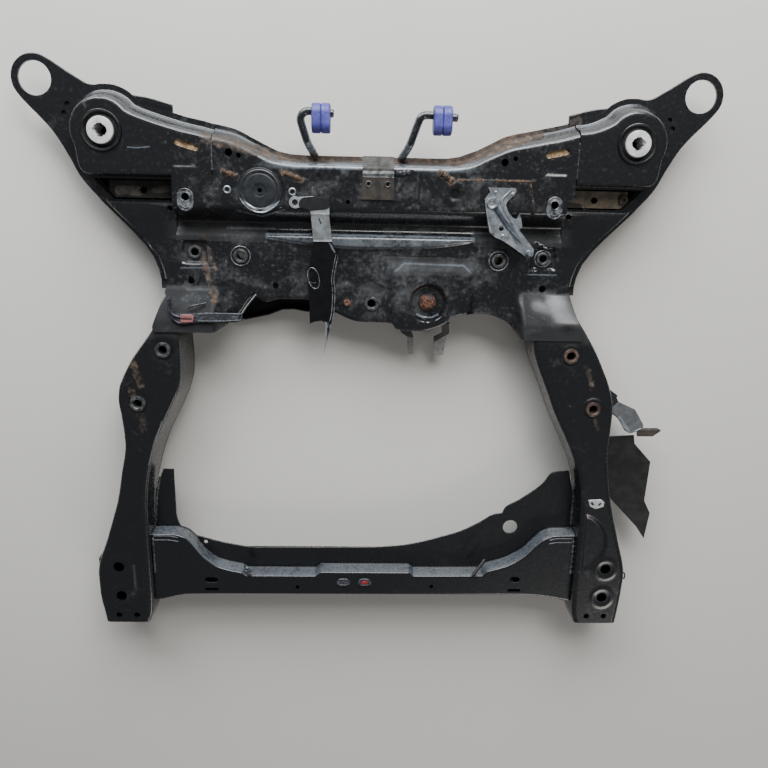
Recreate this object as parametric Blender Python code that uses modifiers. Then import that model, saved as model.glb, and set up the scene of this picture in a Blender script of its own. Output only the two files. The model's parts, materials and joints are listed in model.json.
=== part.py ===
"""Front subframe of a car: a stamped and welded steel cradle with its bushings,
weld nuts, exhaust hangers and small brackets.

Metres, +Z up. The cradle lies flat as it does in the car: X runs across the car,
+Y points to the rear and the origin is at the middle of the underside.
Each sheet is an open surface, lofted or drawn, with a Solidify wall.
"""
import math

import bmesh
import bpy
import numpy as np
from mathutils import Matrix, Vector

# Sheet and clearances
SHEET = 0.0025          # gauge of the stamped panels
EYE_PLATE = 0.0040      # gauge of the outer eye plates
GAP = 0.0003            # clearance between pieces that touch
STACK = SHEET + GAP     # one sheet laid over another
FLANGE = 0.0080         # width of the spot-weld flanges

# Heights of the main levels, all measured to the upper face of the sheet
FLOOR_Z = 0.0           # underside of the cradle
RIM_Z = 0.0477          # upper face of the flange between upper and lower pressings
BEAM_Z = 0.0840         # top of the rear box beam
VALLEY_Z = 0.0560       # bottom of the trough for the steering rack
DECK_Z = 0.0660         # deck in front of the trough
RAIL_Z = 0.0920         # top of the side rails
PLATEAU_Z = 0.0780      # top of the front crossmember
WEB_Z = 0.0600          # top of the front brace of each arm
PAN_Z = 0.0120          # underside of the pans that close the arms
RAIL_FLOOR_Z = 0.0220   # underside of the rails
FOOT_FLOOR_Z = 0.0040   # underside of the front feet

# Outer eyes
EYE_X = 0.5050
EYE_Y = 0.4300
EYE_BORE = 0.0490
EYE_RING = 0.0105       # width of the ring round the bore

# Rear body bushings
BUSH_X = 0.4005
BUSH_Y = 0.3565
BOSS_R = 0.0450         # raised boss of the arm round the bushing
HOUSING_OD = 0.0600
HOUSING_WALL = 0.0025
RUBBER_WALL = 0.0080    # rubber between the housing's bore and the sleeve
SLEEVE_BORE = 0.0170
SLEEVE_TOP = 0.0060     # the sleeve stands this far above the beam
BUSH_FOOT = 0.0060      # underside of the bushing

# Steering rack and engine mount fixings on the crossmember
KEY_X = 0.2810
KEY_Y = 0.2640
KEY_WASHER_WIDTH = 0.0250
KEY_WASHER_LENGTH = 0.0340
KEY_WASHER_SHIFT = 0.0040       # the washer's middle lies this far in front of its bolt
KEY_BOLT = 0.0120
SQUARE_X = 0.2760
SQUARE_Y = 0.1800
SQUARE_RECESS = (0.0400, 0.0380)
SQUARE_DEPTH = 0.0060
RACK_NUT_OD = 0.0210
RACK_NUT_BORE = 0.0120
RACK_NUT_HEIGHT = 0.0050
COLLAR_X = 0.2040
COLLAR_Y = 0.1755
COLLAR_OD = 0.0230
COLLAR_BORE = 0.0130
COLLAR_PROUD = 0.0040
COLLAR_DEPTH = 0.0120    # how far the weld nuts reach below the sheet
MID_COLLAR = (0.0030, 0.1040)
ROD_BOLT = (0.0935, 0.1075)
ROD_DISH_R = 0.0315
ROD_DISH_DEPTH = 0.0110
BULGE_RISE = 0.0100
COVER_D = 0.0670
COVER_AT = (-0.1690, 0.2760)

# Rails and feet
RAIL_NUTS = ((0.3275, 0.0275), (0.3725, -0.0620))
RAIL_NUT_OD = 0.0250
RAIL_NUT_BORE = 0.0140
RAIL_NUT_PROUD = 0.0030
RAIL_NUT_DEPTH = 0.0140
FOOT_BOLTS = ((0.4245, -0.3570), (0.4235, -0.4130))
FOOT_BORE = 0.0180
FOOT_END_HOLES = ((0.4305, -0.4510), (0.3995, -0.4510))
FOOT_FRONT_Y = -0.4650
FOOT_INNER_X = 0.3700

# Front crossmember
SHELF_Z = 0.0500        # upper face of the shelf plate under the plateau
LEDGE_WALL = 0.0050     # plan width of the plateau's rear wall
GUSSET_BORE = 0.0260

# Exhaust hangers
HANGER_D = 0.0120
HANGER_Z = 0.0800
HANGER_FOOT_Z = RIM_Z + STACK + 0.0025  # middle of the rod's end, whose rim rests on the rear flange
ISOLATOR = (0.0430, 0.0300, 0.0280)     # length, height and width of the rubber isolators
ISOLATOR_STEPS = 5      # facets on each of the isolator's rounded ends

# Small brackets
STRAP_EYE = (-0.1163, 0.2597)
STRAP_GAUGE = 0.0020
STRAP_END_Z = 0.0800    # upper face of the strap's lower end
CAST_GAUGE = 0.0040
BRACKET_BOLT = (0.2456, 0.1905)
HARNESS_HEIGHT = 0.0060

DRILL_SIDES = 16

MATERIALS = {
    "black_paint": ((0.030, 0.031, 0.034), 0.38, 0.25),
    "worn_paint": ((0.075, 0.078, 0.082), 0.45, 0.35),
    "rusty_steel": ((0.150, 0.065, 0.030), 0.85, 0.20),
    "bolt_rust": ((0.220, 0.075, 0.030), 0.80, 0.30),
    "aluminium": ((0.620, 0.630, 0.630), 0.40, 0.90),
    "zinc": ((0.520, 0.530, 0.520), 0.38, 0.85),
    "rubber": ((0.022, 0.022, 0.024), 0.75, 0.00),
    "violet_rubber": ((0.130, 0.120, 0.480), 0.55, 0.00),
    "black_plastic": ((0.020, 0.020, 0.021), 0.50, 0.00),
    "red_plastic": ((0.300, 0.030, 0.025), 0.50, 0.00),
    "shield_steel": ((0.018, 0.018, 0.019), 0.42, 0.40),
}


def clearScene():
    for item in list(bpy.data.objects):
        bpy.data.objects.remove(item, do_unlink=True)


def newCollection(name):
    collection = bpy.data.collections.new(name)
    bpy.context.scene.collection.children.link(collection)
    return collection


def material(name):
    found = bpy.data.materials.get(name)
    if found:
        return found
    colour, roughness, metallic = MATERIALS[name]
    made = bpy.data.materials.new(name)
    made.use_nodes = True
    shader = made.node_tree.nodes["Principled BSDF"]
    shader.inputs["Base Color"].default_value = (*colour, 1.0)
    shader.inputs["Roughness"].default_value = roughness
    shader.inputs["Metallic"].default_value = metallic
    return made


def place(name, mesh, finish, at=(0, 0, 0)):
    piece = bpy.data.objects.new(name, mesh)
    piece.location = at
    mesh.materials.append(material(finish))
    parts.objects.link(piece)
    return piece


def meshFrom(name, bm):
    mesh = bpy.data.meshes.new(name)
    bm.to_mesh(mesh)
    bm.free()
    return mesh


def smoothRound(piece, angle=40.0):
    piece.data.shade_smooth()
    piece.data.set_sharp_from_angle(angle=math.radians(angle))


def ease(value):
    """Smooth step from 0 to 1."""
    t = np.clip(value, 0.0, 1.0)
    return t * t * (3.0 - 2.0 * t)


def along(table, at):
    """Read a table of (position, value) pairs between its points."""
    keys, values = zip(*sorted(table))
    return np.interp(at, keys, values)


def offsetPath(points, distance, closed=False):
    """Shift a plan path to its right-hand side, mitred at each corner.

    distance is one number or a list with one number for each point.
    """
    path = np.asarray(points, float)
    if closed:
        before = np.roll(path, 1, axis=0)
        after = np.roll(path, -1, axis=0)
    else:
        before = np.vstack([2 * path[0] - path[1], path[:-1]])
        after = np.vstack([path[1:], 2 * path[-1] - path[-2]])
    first = path - before
    second = after - path
    first /= np.linalg.norm(first, axis=1)[:, None]
    second /= np.linalg.norm(second, axis=1)[:, None]
    tangent = first + second
    tangent /= np.linalg.norm(tangent, axis=1)[:, None]
    stretch = 1.0 / np.maximum(np.sum(tangent * first, axis=1), 0.5)
    normal = np.stack([tangent[:, 1], -tangent[:, 0]], axis=1)
    return path + normal * (stretch * np.asarray(distance))[:, None]


def arcPoints(centre, radius, start, end, steps):
    """Points on an arc, with the angles in degrees."""
    angles = np.radians(np.linspace(start, end, steps + 1))
    return [(centre[0] + radius * math.cos(a), centre[1] + radius * math.sin(a)) for a in angles]


def solidify(piece, gauge):
    wall = piece.modifiers.new("wall", "SOLIDIFY")
    wall.thickness = gauge
    wall.offset = -1.0
    wall.use_even_offset = True
    wall.use_quality_normals = True


def loft(name, rows, gauge, finish):
    """A sheet through rows of points, faced upward where the rows run to +X and their points to -Y.

    The wall grows behind that face.
    """
    grid = np.asarray(rows, float)
    count, width, _ = grid.shape
    bm = bmesh.new()
    verts = [[bm.verts.new(point) for point in row] for row in grid]
    for i in range(count - 1):
        for j in range(width - 1):
            bm.faces.new((verts[i][j], verts[i][j + 1], verts[i + 1][j + 1], verts[i + 1][j]))
    piece = place(name, meshFrom(name, bm), finish)
    solidify(piece, gauge)
    smoothRound(piece)
    return piece


def drawnPan(name, loops, gauge, finish, cutPlanes=(), flip=False):
    """A pressing with a flat bottom: closed loops from its flange to its filled cap.

    cutPlanes are (point, normal) pairs that trim the surface; what lies on the
    normal's side goes.
    """
    bm = bmesh.new()
    verts = [[bm.verts.new(point) for point in loop] for loop in loops]
    count = len(verts[0])
    for lower, upper in zip(verts, verts[1:]):
        for j in range(count):
            k = (j + 1) % count
            bm.faces.new((lower[j], lower[k], upper[k], upper[j]))
    bm.faces.new(verts[-1])
    for point, normal in cutPlanes:
        geometry = bm.verts[:] + bm.edges[:] + bm.faces[:]
        bmesh.ops.bisect_plane(bm, geom=geometry, dist=1e-6, plane_co=point, plane_no=normal,
                               clear_outer=True)
    if flip:
        bmesh.ops.reverse_faces(bm, faces=bm.faces[:])
    bmesh.ops.triangulate(bm, faces=[face for face in bm.faces if len(face.verts) > 4])
    piece = place(name, meshFrom(name, bm), finish)
    solidify(piece, gauge)
    smoothRound(piece, 30.0)
    return piece


def flatPlate(name, outline, top, gauge, finish):
    """A flat plate from a plan outline, with its upper face at the height top."""
    curve = bpy.data.curves.new(name, "CURVE")
    curve.dimensions = "2D"
    curve.fill_mode = "BOTH"
    curve.extrude = gauge / 2
    spline = curve.splines.new("POLY")
    spline.points.add(len(outline) - 1)
    for point, (x, y) in zip(spline.points, outline):
        point.co = (x, y, 0.0, 1.0)
    spline.use_cyclic_u = True
    guide = bpy.data.objects.new(name + "_outline", curve)
    parts.objects.link(guide)
    bpy.context.view_layer.update()
    evaluated = guide.evaluated_get(bpy.context.evaluated_depsgraph_get())
    mesh = bpy.data.meshes.new_from_object(evaluated)
    bpy.data.objects.remove(guide, do_unlink=True)
    bm = bmesh.new()
    bm.from_mesh(mesh)
    bmesh.ops.remove_doubles(bm, verts=bm.verts[:], dist=1e-6)
    bmesh.ops.recalc_face_normals(bm, faces=bm.faces[:])
    bm.to_mesh(mesh)
    bm.free()
    mesh.materials.clear()
    return place(name, mesh, finish, (0, 0, top - gauge / 2))


def turned(name, profile, at, finish, steps=24):
    """A turned piece: (radius, height) pairs, down the outside and up the inside."""
    mesh = bpy.data.meshes.new(name)
    points = [(radius, 0.0, height) for radius, height in profile]
    hollow = profile[0][0] > 0 and profile[-1][0] > 0
    edges = [(i, i + 1) for i in range(len(points) - 1)]
    if hollow:
        edges.append((len(points) - 1, 0))
    mesh.from_pydata(points, edges, [])
    piece = place(name, mesh, finish, at)
    screw = piece.modifiers.new("turn", "SCREW")
    screw.axis = "Z"
    screw.steps = steps
    screw.render_steps = steps
    screw.use_merge_vertices = True
    screw.merge_threshold = 1e-6
    screw.use_smooth_shade = True
    return piece


def roundHoles(target, holes, low=-0.05, high=0.15):
    """Drill plain holes along Z: (x, y, diameter) for each."""
    bm = bmesh.new()
    for x, y, diameter in holes:
        middle = Matrix.Translation((x, y, (low + high) / 2))
        sides = DRILL_SIDES if diameter < 0.040 else 2 * DRILL_SIDES
        if diameter < 0.011:
            sides = 12
        radius = diameter / 2 / math.cos(math.pi / sides)
        bmesh.ops.create_cone(bm, cap_ends=True, segments=sides, radius1=radius, radius2=radius,
                              depth=high - low, matrix=middle)
    cutAway(target, meshFrom(target.name + "_drill", bm))


def slots(target, cuts, low=-0.05, high=0.15):
    """Punch slots along Z: (x, y, length, width, angle in degrees) for each."""
    bm = bmesh.new()
    for x, y, length, width, angle in cuts:
        ends = stadium(0, 0, length, width)
        turn = Matrix.Translation((x, y, 0)) @ Matrix.Rotation(math.radians(angle), 4, "Z")
        rim = [bm.verts.new(turn @ Vector((px, py, low))) for px, py in ends]
        floor = bm.faces.new(rim)
        raised = bmesh.ops.extrude_face_region(bm, geom=[floor])["geom"]
        lifted = [item for item in raised if isinstance(item, bmesh.types.BMVert)]
        bmesh.ops.translate(bm, verts=lifted, vec=(0, 0, high - low))
    bmesh.ops.recalc_face_normals(bm, faces=bm.faces[:])
    cutAway(target, meshFrom(target.name + "_slots", bm))


def cutAway(target, mesh):
    cutter = bpy.data.objects.new(mesh.name, mesh)
    cutter.hide_render = True
    cutter.display_type = "WIRE"
    cutters.objects.link(cutter)
    cut = target.modifiers.new("cut", "BOOLEAN")
    cut.operation = "DIFFERENCE"
    cut.solver = "EXACT"
    cut.object = cutter


def bar(name, points, diameter, finish, sides=2):
    """A round bar along a poly-line, with closed ends."""
    curve = bpy.data.curves.new(name, "CURVE")
    curve.dimensions = "3D"
    curve.bevel_depth = diameter / 2
    curve.bevel_resolution = sides
    curve.use_fill_caps = True
    spline = curve.splines.new("POLY")
    spline.points.add(len(points) - 1)
    for point, place3 in zip(spline.points, points):
        point.co = (*place3, 1.0)
    piece = bpy.data.objects.new(name, curve)
    curve.materials.append(material(finish))
    parts.objects.link(piece)
    return piece


def bendPath(corners, radius, steps=5):
    """Round each inner corner of a 3-D path with an arc."""
    path = [Vector(corners[0])]
    for before, corner, after in zip(corners, corners[1:], corners[2:]):
        corner = Vector(corner)
        back = (Vector(before) - corner).normalized()
        ahead = (Vector(after) - corner).normalized()
        half = back.angle(ahead) / 2
        reach = radius / math.tan(half)
        centre = corner + (back + ahead).normalized() * (radius / math.sin(half))
        start = (corner + back * reach - centre).normalized()
        end = (corner + ahead * reach - centre).normalized()
        for i in range(steps + 1):
            path.append(centre + radius * start.slerp(end, i / steps))
    path.append(Vector(corners[-1]))
    return path


def hexBolt(name, at, across, height, flange, finish, shank, depth):
    """A flanged hexagon head on its shank, one piece, with its seat at the height of its place."""
    collar = height * 0.3
    profile = [(0.0, height * 0.6), (across * 0.45, height * 0.6), (flange / 2, collar), (flange / 2, 0.0),
               (shank / 2, 0.0), (shank / 2, -depth), (0.0, -depth)]
    piece = turned(name, profile, at, finish, 16)
    head = bmesh.new()
    bmesh.ops.create_cone(head, cap_ends=True, segments=6, radius1=across / math.sqrt(3),
                          radius2=across / math.sqrt(3), depth=height - collar,
                          matrix=Matrix.Translation((0, 0, (height + collar) / 2)))
    joinTo(piece, meshFrom(name + "_hexagon", head), at)
    return piece


def joinTo(target, mesh, at=(0, 0, 0)):
    helper = bpy.data.objects.new(mesh.name, mesh)
    helper.location = at
    cutters.objects.link(helper)
    joinPiece(target, helper)


def joinPiece(target, helper):
    helper.hide_render = True
    helper.display_type = "WIRE"
    join = target.modifiers.new("join", "BOOLEAN")
    join.operation = "UNION"
    join.solver = "EXACT"
    join.object = helper


# Outline of the arm plates, rear and front edges of the right side (x, y)
ARM_REAR_EDGE = ((0.142, 0.3290), (0.178, 0.3440), (0.220, 0.3650), (0.250, 0.3790), (0.300, 0.3970),
                 (0.341, 0.4075), (0.375, 0.4120), (0.412, 0.4230), (0.424, 0.4240), (0.448, 0.4360))
ARM_FRONT_EDGE = ((0.485, 0.3550), (0.465, 0.3210), (0.450, 0.2910), (0.421, 0.2560),
                  (0.391, 0.2250), (0.363, 0.1970), (0.344, 0.1690), (0.335, 0.1430), (0.335, 0.1200))
# Opening of the arm plates: share of the way from the arm's root to the bushing, and y
WINDOW_RIM = ((0.1692, 0.1560), (0.2769, 0.1790), (0.4923, 0.2080), (0.7795, 0.2360), (1.0872, 0.2670),
              (1.3333, 0.2930), (1.4769, 0.3180), (1.5487, 0.3420), (1.5077, 0.3700), (1.3538, 0.3900),
              (1.0974, 0.4020), (0.6872, 0.3920), (0.3795, 0.3860), (-0.0308, 0.3740))
# Ridge of the rear beam and the plan width of its rear wall, by distance from the middle
RIDGE = ((0.0, 0.3120), (0.110, 0.3120), (0.126, 0.3130), (0.148, 0.3160), (0.183, 0.3310), (0.212, 0.3430),
         (0.241, 0.3490), (0.260, 0.3530), (0.285, 0.3580), (0.300, 0.3620), (0.328, 0.3700), (0.363, 0.3830))
REAR_WALL = ((0.0, 0.0095), (0.120, 0.0095), (0.200, 0.0150), (0.400, 0.0150))
BEAM_FRONT_Y = 0.2955   # front edge of the arm's box beam
PANEL_FRONT_Y = 0.2720  # front edge of the rear panel, under the crossmember plate
LEFT_SEAM = -0.2400     # where the arm pressings meet the rear panel
RIGHT_SEAM = 0.3130
SEAM_GAP = 0.0007       # half the butt gap at those seams
ARM_ROOT = 0.3030       # the arms start here, outside the crossmember plate

# Side and front edges of the crossmember plate
PLATE_SIDE = ((0.060, 0.3430), (0.100, 0.3290), (0.145, 0.3180), (0.175, 0.3120), (0.205, 0.3030),
              (0.320, 0.3000))
PLATE_REAR = ((-0.300, 0.3120), (-0.272, 0.3120), (-0.256, 0.3020), (-0.245, 0.2970), (-0.118, 0.2970),
              (-0.110, 0.3080), (0.116, 0.3080), (0.124, 0.2970), (0.245, 0.2970), (0.256, 0.3020),
              (0.272, 0.3120), (0.300, 0.3120))
PLATE_FRONT = ((-0.300, 0.0600), (-0.240, 0.0600), (-0.212, 0.0800), (-0.184, 0.1110), (-0.165, 0.1030),
               (-0.144, 0.1080), (-0.099, 0.1080), (-0.057, 0.0880), (-0.015, 0.0730), (0.036, 0.0720),
               (0.044, 0.0640), (0.082, 0.0610), (0.122, 0.0730), (0.132, 0.0830), (0.156, 0.0890),
               (0.188, 0.0890), (0.222, 0.0780), (0.250, 0.0560), (0.300, 0.0560))
# Where the front edge is turned down into a wall (1) or left open above the floor (0)
WALLED = ((-0.300, 0), (-0.075, 0), (-0.050, 1), (0.118, 1), (0.140, 0), (0.300, 0))
FRONT_SEAM_Z = 0.0275   # the turned-down wall meets the floor pressing at this height
# Floor pressing: front edge and the height of its lip, across the cradle
FLOOR_STATIONS = (-0.3020, -0.262, -0.240, -0.207, -0.183, -0.167, -0.145, -0.126, -0.103, -0.075, -0.050,
                  0.0, 0.044, 0.082, 0.118, 0.136, 0.163, 0.183, 0.207, 0.240, 0.262, 0.3020)
FLOOR_FRONT = ((-0.302, 0.1080), (-0.262, 0.1060), (-0.240, 0.0700), (-0.207, 0.0650), (-0.167, 0.0740),
               (-0.145, 0.0830), (-0.126, 0.0840), (-0.103, 0.0800), (-0.075, 0.0850), (-0.050, 0.0850),
               (0.0, 0.0770), (0.044, 0.0680), (0.082, 0.0650), (0.118, 0.0755), (0.136, 0.0780),
               (0.163, 0.0830), (0.197, 0.0870), (0.222, 0.0830), (0.240, 0.0760), (0.262, 0.1060),
               (0.302, 0.1080))
FLOOR_LIP = ((-0.302, 0.0240), (-0.240, 0.0180), (-0.075, 0.0180), (-0.050, 0.0260), (0.118, 0.0260),
             (0.136, 0.0180), (0.240, 0.0180), (0.302, 0.0240))
# Front brace of the arms: place and the drop of its upper face
WEB_ROWS = ((0.2580, 0.0060), (0.2540, 0.0015), (0.2480, 0.0), (0.2300, 0.0010), (0.2100, 0.0030),
            (0.1900, 0.0040), (0.1700, 0.0030), (0.1500, 0.0010), (0.1360, 0.0))
# Rails: place, outer edge, inner edge and inner foot of each cross-section
LEFT_RAIL = ((0.1040, 0.3270, 0.3010, 0.2930), (0.0850, 0.3330, 0.3010, 0.2920),
             (0.0600, 0.3430, 0.3010, 0.2910), (0.0350, 0.3610, 0.3000, 0.2900),
             (0.0100, 0.3790, 0.3000, 0.2890), (-0.0150, 0.3930, 0.3010, 0.2900),
             (-0.0400, 0.4030, 0.3060, 0.2960), (-0.0600, 0.4050, 0.3150, 0.3040),
             (-0.0850, 0.4020, 0.3270, 0.3160), (-0.1300, 0.3995, 0.3480, 0.3380),
             (-0.1900, 0.4100, 0.3630, 0.3570), (-0.2300, 0.4180, 0.3685, 0.3660),
             (-0.2600, 0.4270, 0.3700, 0.3690), (-0.3000, 0.4400, 0.3700, 0.3700),
             (-0.3750, 0.4620, 0.3700, 0.3700), (-0.4050, 0.4620, 0.3700, 0.3700),
             (-0.4450, 0.4570, 0.3720, 0.3720), (FOOT_FRONT_Y, 0.4540, 0.3780, 0.3780))
RIGHT_RAIL = ((0.1040, 0.3280, 0.2620, 0.2600), (0.0850, 0.3370, 0.2620, 0.2600),
              (0.0600, 0.3530, 0.2630, 0.2600), (0.0350, 0.3690, 0.2660, 0.2630),
              (0.0100, 0.3820, 0.2740, 0.2710), (-0.0150, 0.3940, 0.2850, 0.2820),
              (-0.0400, 0.4030, 0.2960, 0.2930), (-0.0600, 0.4070, 0.3040, 0.3010),
              (-0.0850, 0.4080, 0.3160, 0.3120), (-0.1300, 0.4070, 0.3390, 0.3350),
              (-0.1900, 0.4140, 0.3620, 0.3600), (-0.2300, 0.4220, 0.3680, 0.3670),
              (-0.2600, 0.4300, 0.3700, 0.3700), (-0.3000, 0.4420, 0.3700, 0.3700),
              (-0.3750, 0.4600, 0.3700, 0.3700), (-0.4050, 0.4590, 0.3700, 0.3700),
              (-0.4450, 0.4560, 0.3720, 0.3720), (FOOT_FRONT_Y, 0.4540, 0.3780, 0.3780))
RAIL_SKIRT_Z = 0.0420   # lower edge of the upper rail channels
RAIL_LAP = 0.0080       # how far the lower channel reaches up inside
RAIL_DRAFT = 0.0040     # draft of the outer rail wall
RAIL_PLAY = 0.0004      # spare room of the lower channel inside the walls, for the bends
# Grid of the crossmember plate: close where it is drawn, wide where it is plain
PLATE_COLUMNS = (-0.300, -0.296, -0.292, -0.260, -0.256, -0.248, -0.240, -0.232, -0.212, -0.184, -0.165,
                 -0.144, -0.099, -0.075, -0.057, -0.015, 0.026, 0.040, 0.062, 0.0765, 0.0935, 0.1105, 0.125,
                 0.154, 0.172, 0.205, 0.232, 0.240, 0.248, 0.256, 0.260, 0.292, 0.296, 0.300)
PLATE_ROWS_Y = (0.253, 0.244, 0.235, 0.225, 0.214, 0.2065, 0.199, 0.195, 0.176, 0.165, 0.161)
PLATE_FRONT_ROWS_Y = (0.148, 0.139, 0.1245, 0.1075, 0.0905, 0.0785)
PLATE_ROW_GAP = 0.0030  # least distance between the last rows, where the front edge runs far back
RAMP_START = 0.130
RAMP_END = 0.072
RAMP_RELIEF = 0.0010    # the rail's end is this much lower under the plate
RAMP_SETBACK = 0.0050   # the rail's own ramp lies this far forward, clear of the sloping plate


def plateTop(x, y):
    """Height of the crossmember plate: trough, bead, bulge, dish and the ramps to the rails."""
    beam = BEAM_Z + STACK
    height = beam + (VALLEY_Z - beam) * ease((0.253 - y) / 0.028)
    height = height + (DECK_Z - VALLEY_Z) * ease((0.219 - y) / 0.014)
    length = np.clip(1.0 - (np.asarray(x) / 0.166) ** 2, 0.0, 1.0)
    beadMiddle = 0.2075 - 0.0065 * length
    beadHalf = 0.0015 + 0.0075 * length
    height = height + 0.0060 * length ** 0.5 * ease((beadHalf + 0.004 - np.abs(y - beadMiddle)) / 0.006)
    bulge = ease((x - 0.026) / 0.016) * ease((0.172 - x) / 0.018) * ease((0.174 - y) / 0.014)
    height = height + BULGE_RISE * bulge
    fromBolt = np.hypot(x - ROD_BOLT[0], y - ROD_BOLT[1])
    height = height - ROD_DISH_DEPTH * ease((ROD_DISH_R - fromBolt) / 0.0075)
    for side in (-1, 1):
        recessX = SQUARE_RECESS[0] / 2 - np.abs(x - side * SQUARE_X)
        recessY = SQUARE_RECESS[1] / 2 - np.abs(y - SQUARE_Y)
        height = height - SQUARE_DEPTH * ease(recessX / 0.004) * ease(recessY / 0.004)
    climb = (RAIL_Z + STACK + GAP - DECK_Z) * ease((RAMP_START - y) / (RAMP_START - RAMP_END))
    return height + rampShare(x) * climb


def rampShare(x):
    """How far a place belongs to the ramps over the rails, from 0 to 1."""
    return ease((np.abs(x) - 0.232) / 0.016)


def makeCrossmember():
    """Main plate of the cradle, from the beam's ridge to the front edge, and the floor pressing."""
    columns = np.array(PLATE_COLUMNS)
    rear = along(PLATE_REAR, columns)
    front = along(PLATE_FRONT, columns)
    walled = along(WALLED, columns)
    ys = [rear] + [np.full_like(columns, y) for y in PLATE_ROWS_Y]
    edge = front + 0.006
    left = len(PLATE_FRONT_ROWS_Y)
    ys += [np.maximum(y, edge + PLATE_ROW_GAP * (left - i)) for i, y in enumerate(PLATE_FRONT_ROWS_Y)]
    ys.append(edge)
    spread = ease((np.abs(columns) - 0.292) / 0.008)
    rows = []
    for y in ys:
        x = columns + np.sign(columns) * (along(PLATE_SIDE, y) - 0.300) * spread
        rows.append(np.stack([x, y, plateTop(x, y)], axis=1))
    edgeX, edgeY, edgeZ = rows[-1].T
    turn = 1.0 - rampShare(edgeX)
    wallTop = edgeZ - 0.0040 * turn
    wallFoot = wallTop - 0.0010 * turn + (FRONT_SEAM_Z - wallTop + 0.0010) * walled
    rows.append(np.stack([edgeX, edgeY - 0.005, edgeZ - 0.0015 * turn], axis=1))
    rows.append(np.stack([edgeX, edgeY - 0.007 + 0.001 * turn, wallTop], axis=1))
    rows.append(np.stack([edgeX, edgeY - 0.009 + 0.003 * turn, wallFoot], axis=1))
    plate = loft("crossmember_upper", np.stack(rows, axis=1), SHEET, "black_paint")
    holes = [(side * KEY_X, KEY_Y, KEY_BOLT + 0.004) for side in (-1, 1)]
    holes += [(side * SQUARE_X, SQUARE_Y, 0.016) for side in (-1, 1)]
    holes += [(side * COLLAR_X, COLLAR_Y, COLLAR_OD + 2 * GAP) for side in (-1, 1)]
    holes += [(*MID_COLLAR, COLLAR_OD + 2 * GAP), (*ROD_BOLT, 0.016)]
    holes += [(-0.284, 0.136, 0.012), (0.278, 0.132, 0.011), (-0.150, 0.130, 0.010)]
    holes += [(0.127, 0.278, 0.014), (-0.080, 0.300, 0.006), (-0.036, 0.262, 0.006)]
    holes += [(*COVER_AT, COVER_D + 2 * GAP), (-0.0370, 0.1040, 0.0070)]
    roundHoles(plate, holes)
    return plate


def makeRearPanel():
    """Rear wall and top of the box beam between the two arm pressings."""
    bends = [x for x, _ in RIDGE[1:]]
    inner = [x for x in [-x for x in bends[::-1]] + bends if LEFT_SEAM + 0.01 < x < RIGHT_SEAM - 0.01]
    stations = [LEFT_SEAM + SEAM_GAP] + inner + [RIGHT_SEAM - SEAM_GAP]
    rows = []
    for x in stations:
        ridge = along(RIDGE, abs(x))
        foot = ridge + along(REAR_WALL, abs(x))
        rim = RIM_Z + STACK
        rows.append([(x, foot + FLANGE, rim), (x, foot + 0.0015, rim), (x, foot - 0.001, rim + 0.003),
                     (x, ridge + 0.004, BEAM_Z - 0.005), (x, ridge + 0.001, BEAM_Z - 0.001),
                     (x, ridge - 0.003, BEAM_Z), (x, PANEL_FRONT_Y, BEAM_Z)])
    panel = loft("rear_panel", rows, SHEET, "black_paint")
    roundHoles(panel, [(-0.215, 0.330, 0.011), (-0.200, 0.326, 0.007), (0.201, 0.325, 0.011),
                       (0.217, 0.331, 0.007), (*COVER_AT, COVER_D + 2 * GAP)])
    slots(panel, [(0.281, 0.340, 0.036, 0.010, 12)])
    return panel


def armBox(side):
    """Plan outline of the top of an arm's box beam, anticlockwise on the right side."""
    seam = RIGHT_SEAM if side > 0 else -LEFT_SEAM
    boss = arcPoints((BUSH_X, BUSH_Y), BOSS_R, -28, 122, 12)
    ridge = [(x, y) for x, y in RIDGE if seam < x < BUSH_X - 0.030]
    root = [(seam - 0.030, along(RIDGE, seam))]
    front = [(seam - 0.030, BEAM_FRONT_Y), (BUSH_X - 0.0155, BEAM_FRONT_Y), (BUSH_X + 0.0245, BEAM_FRONT_Y),
             (BUSH_X + 0.0335, BEAM_FRONT_Y + 0.005), (BUSH_X + 0.0370, BEAM_FRONT_Y + 0.016)]
    return front + boss + ridge[::-1] + root


def mirrored(loop, side):
    if side > 0:
        return [tuple(point) for point in loop]
    return [(-point[0], *point[1:]) for point in loop][::-1]


def raiseLoop(path, height):
    return [(x, y, height) for x, y in path]


def makeArmUpper(side, word):
    """Upper pressing of an arm: box beam with a round boss for the bushing."""
    top = np.array(armBox(side))
    normals = offsetPath(top, 1.0, closed=True) - top
    normals /= np.linalg.norm(normals, axis=1)[:, None]
    wall = 0.0095 + 0.0055 * normals[:, 1]
    flange = wall + 0.0055 + 0.0025 * normals[:, 1]
    rim = RIM_Z + STACK
    loops = [raiseLoop(offsetPath(top, flange, True), rim), raiseLoop(offsetPath(top, wall, True), rim),
             raiseLoop(offsetPath(top, 0.25 * wall, True), BEAM_Z - 0.005),
             raiseLoop(top, BEAM_Z - 0.0005), raiseLoop(offsetPath(top, -0.004, True), BEAM_Z)]
    loops = [mirrored(loop, side) for loop in loops]
    seam = (RIGHT_SEAM if side > 0 else LEFT_SEAM) + side * SEAM_GAP
    arm = drawnPan("arm_upper_" + word, loops, SHEET, "black_paint", [((seam, 0, 0), (-side, 0, 0))])
    roundHoles(arm, [(side * BUSH_X, BUSH_Y, HOUSING_OD + 2 * GAP)])
    if side < 0:
        slots(arm, [(-0.277, 0.339, 0.036, 0.010, -16)])
    return arm


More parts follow.
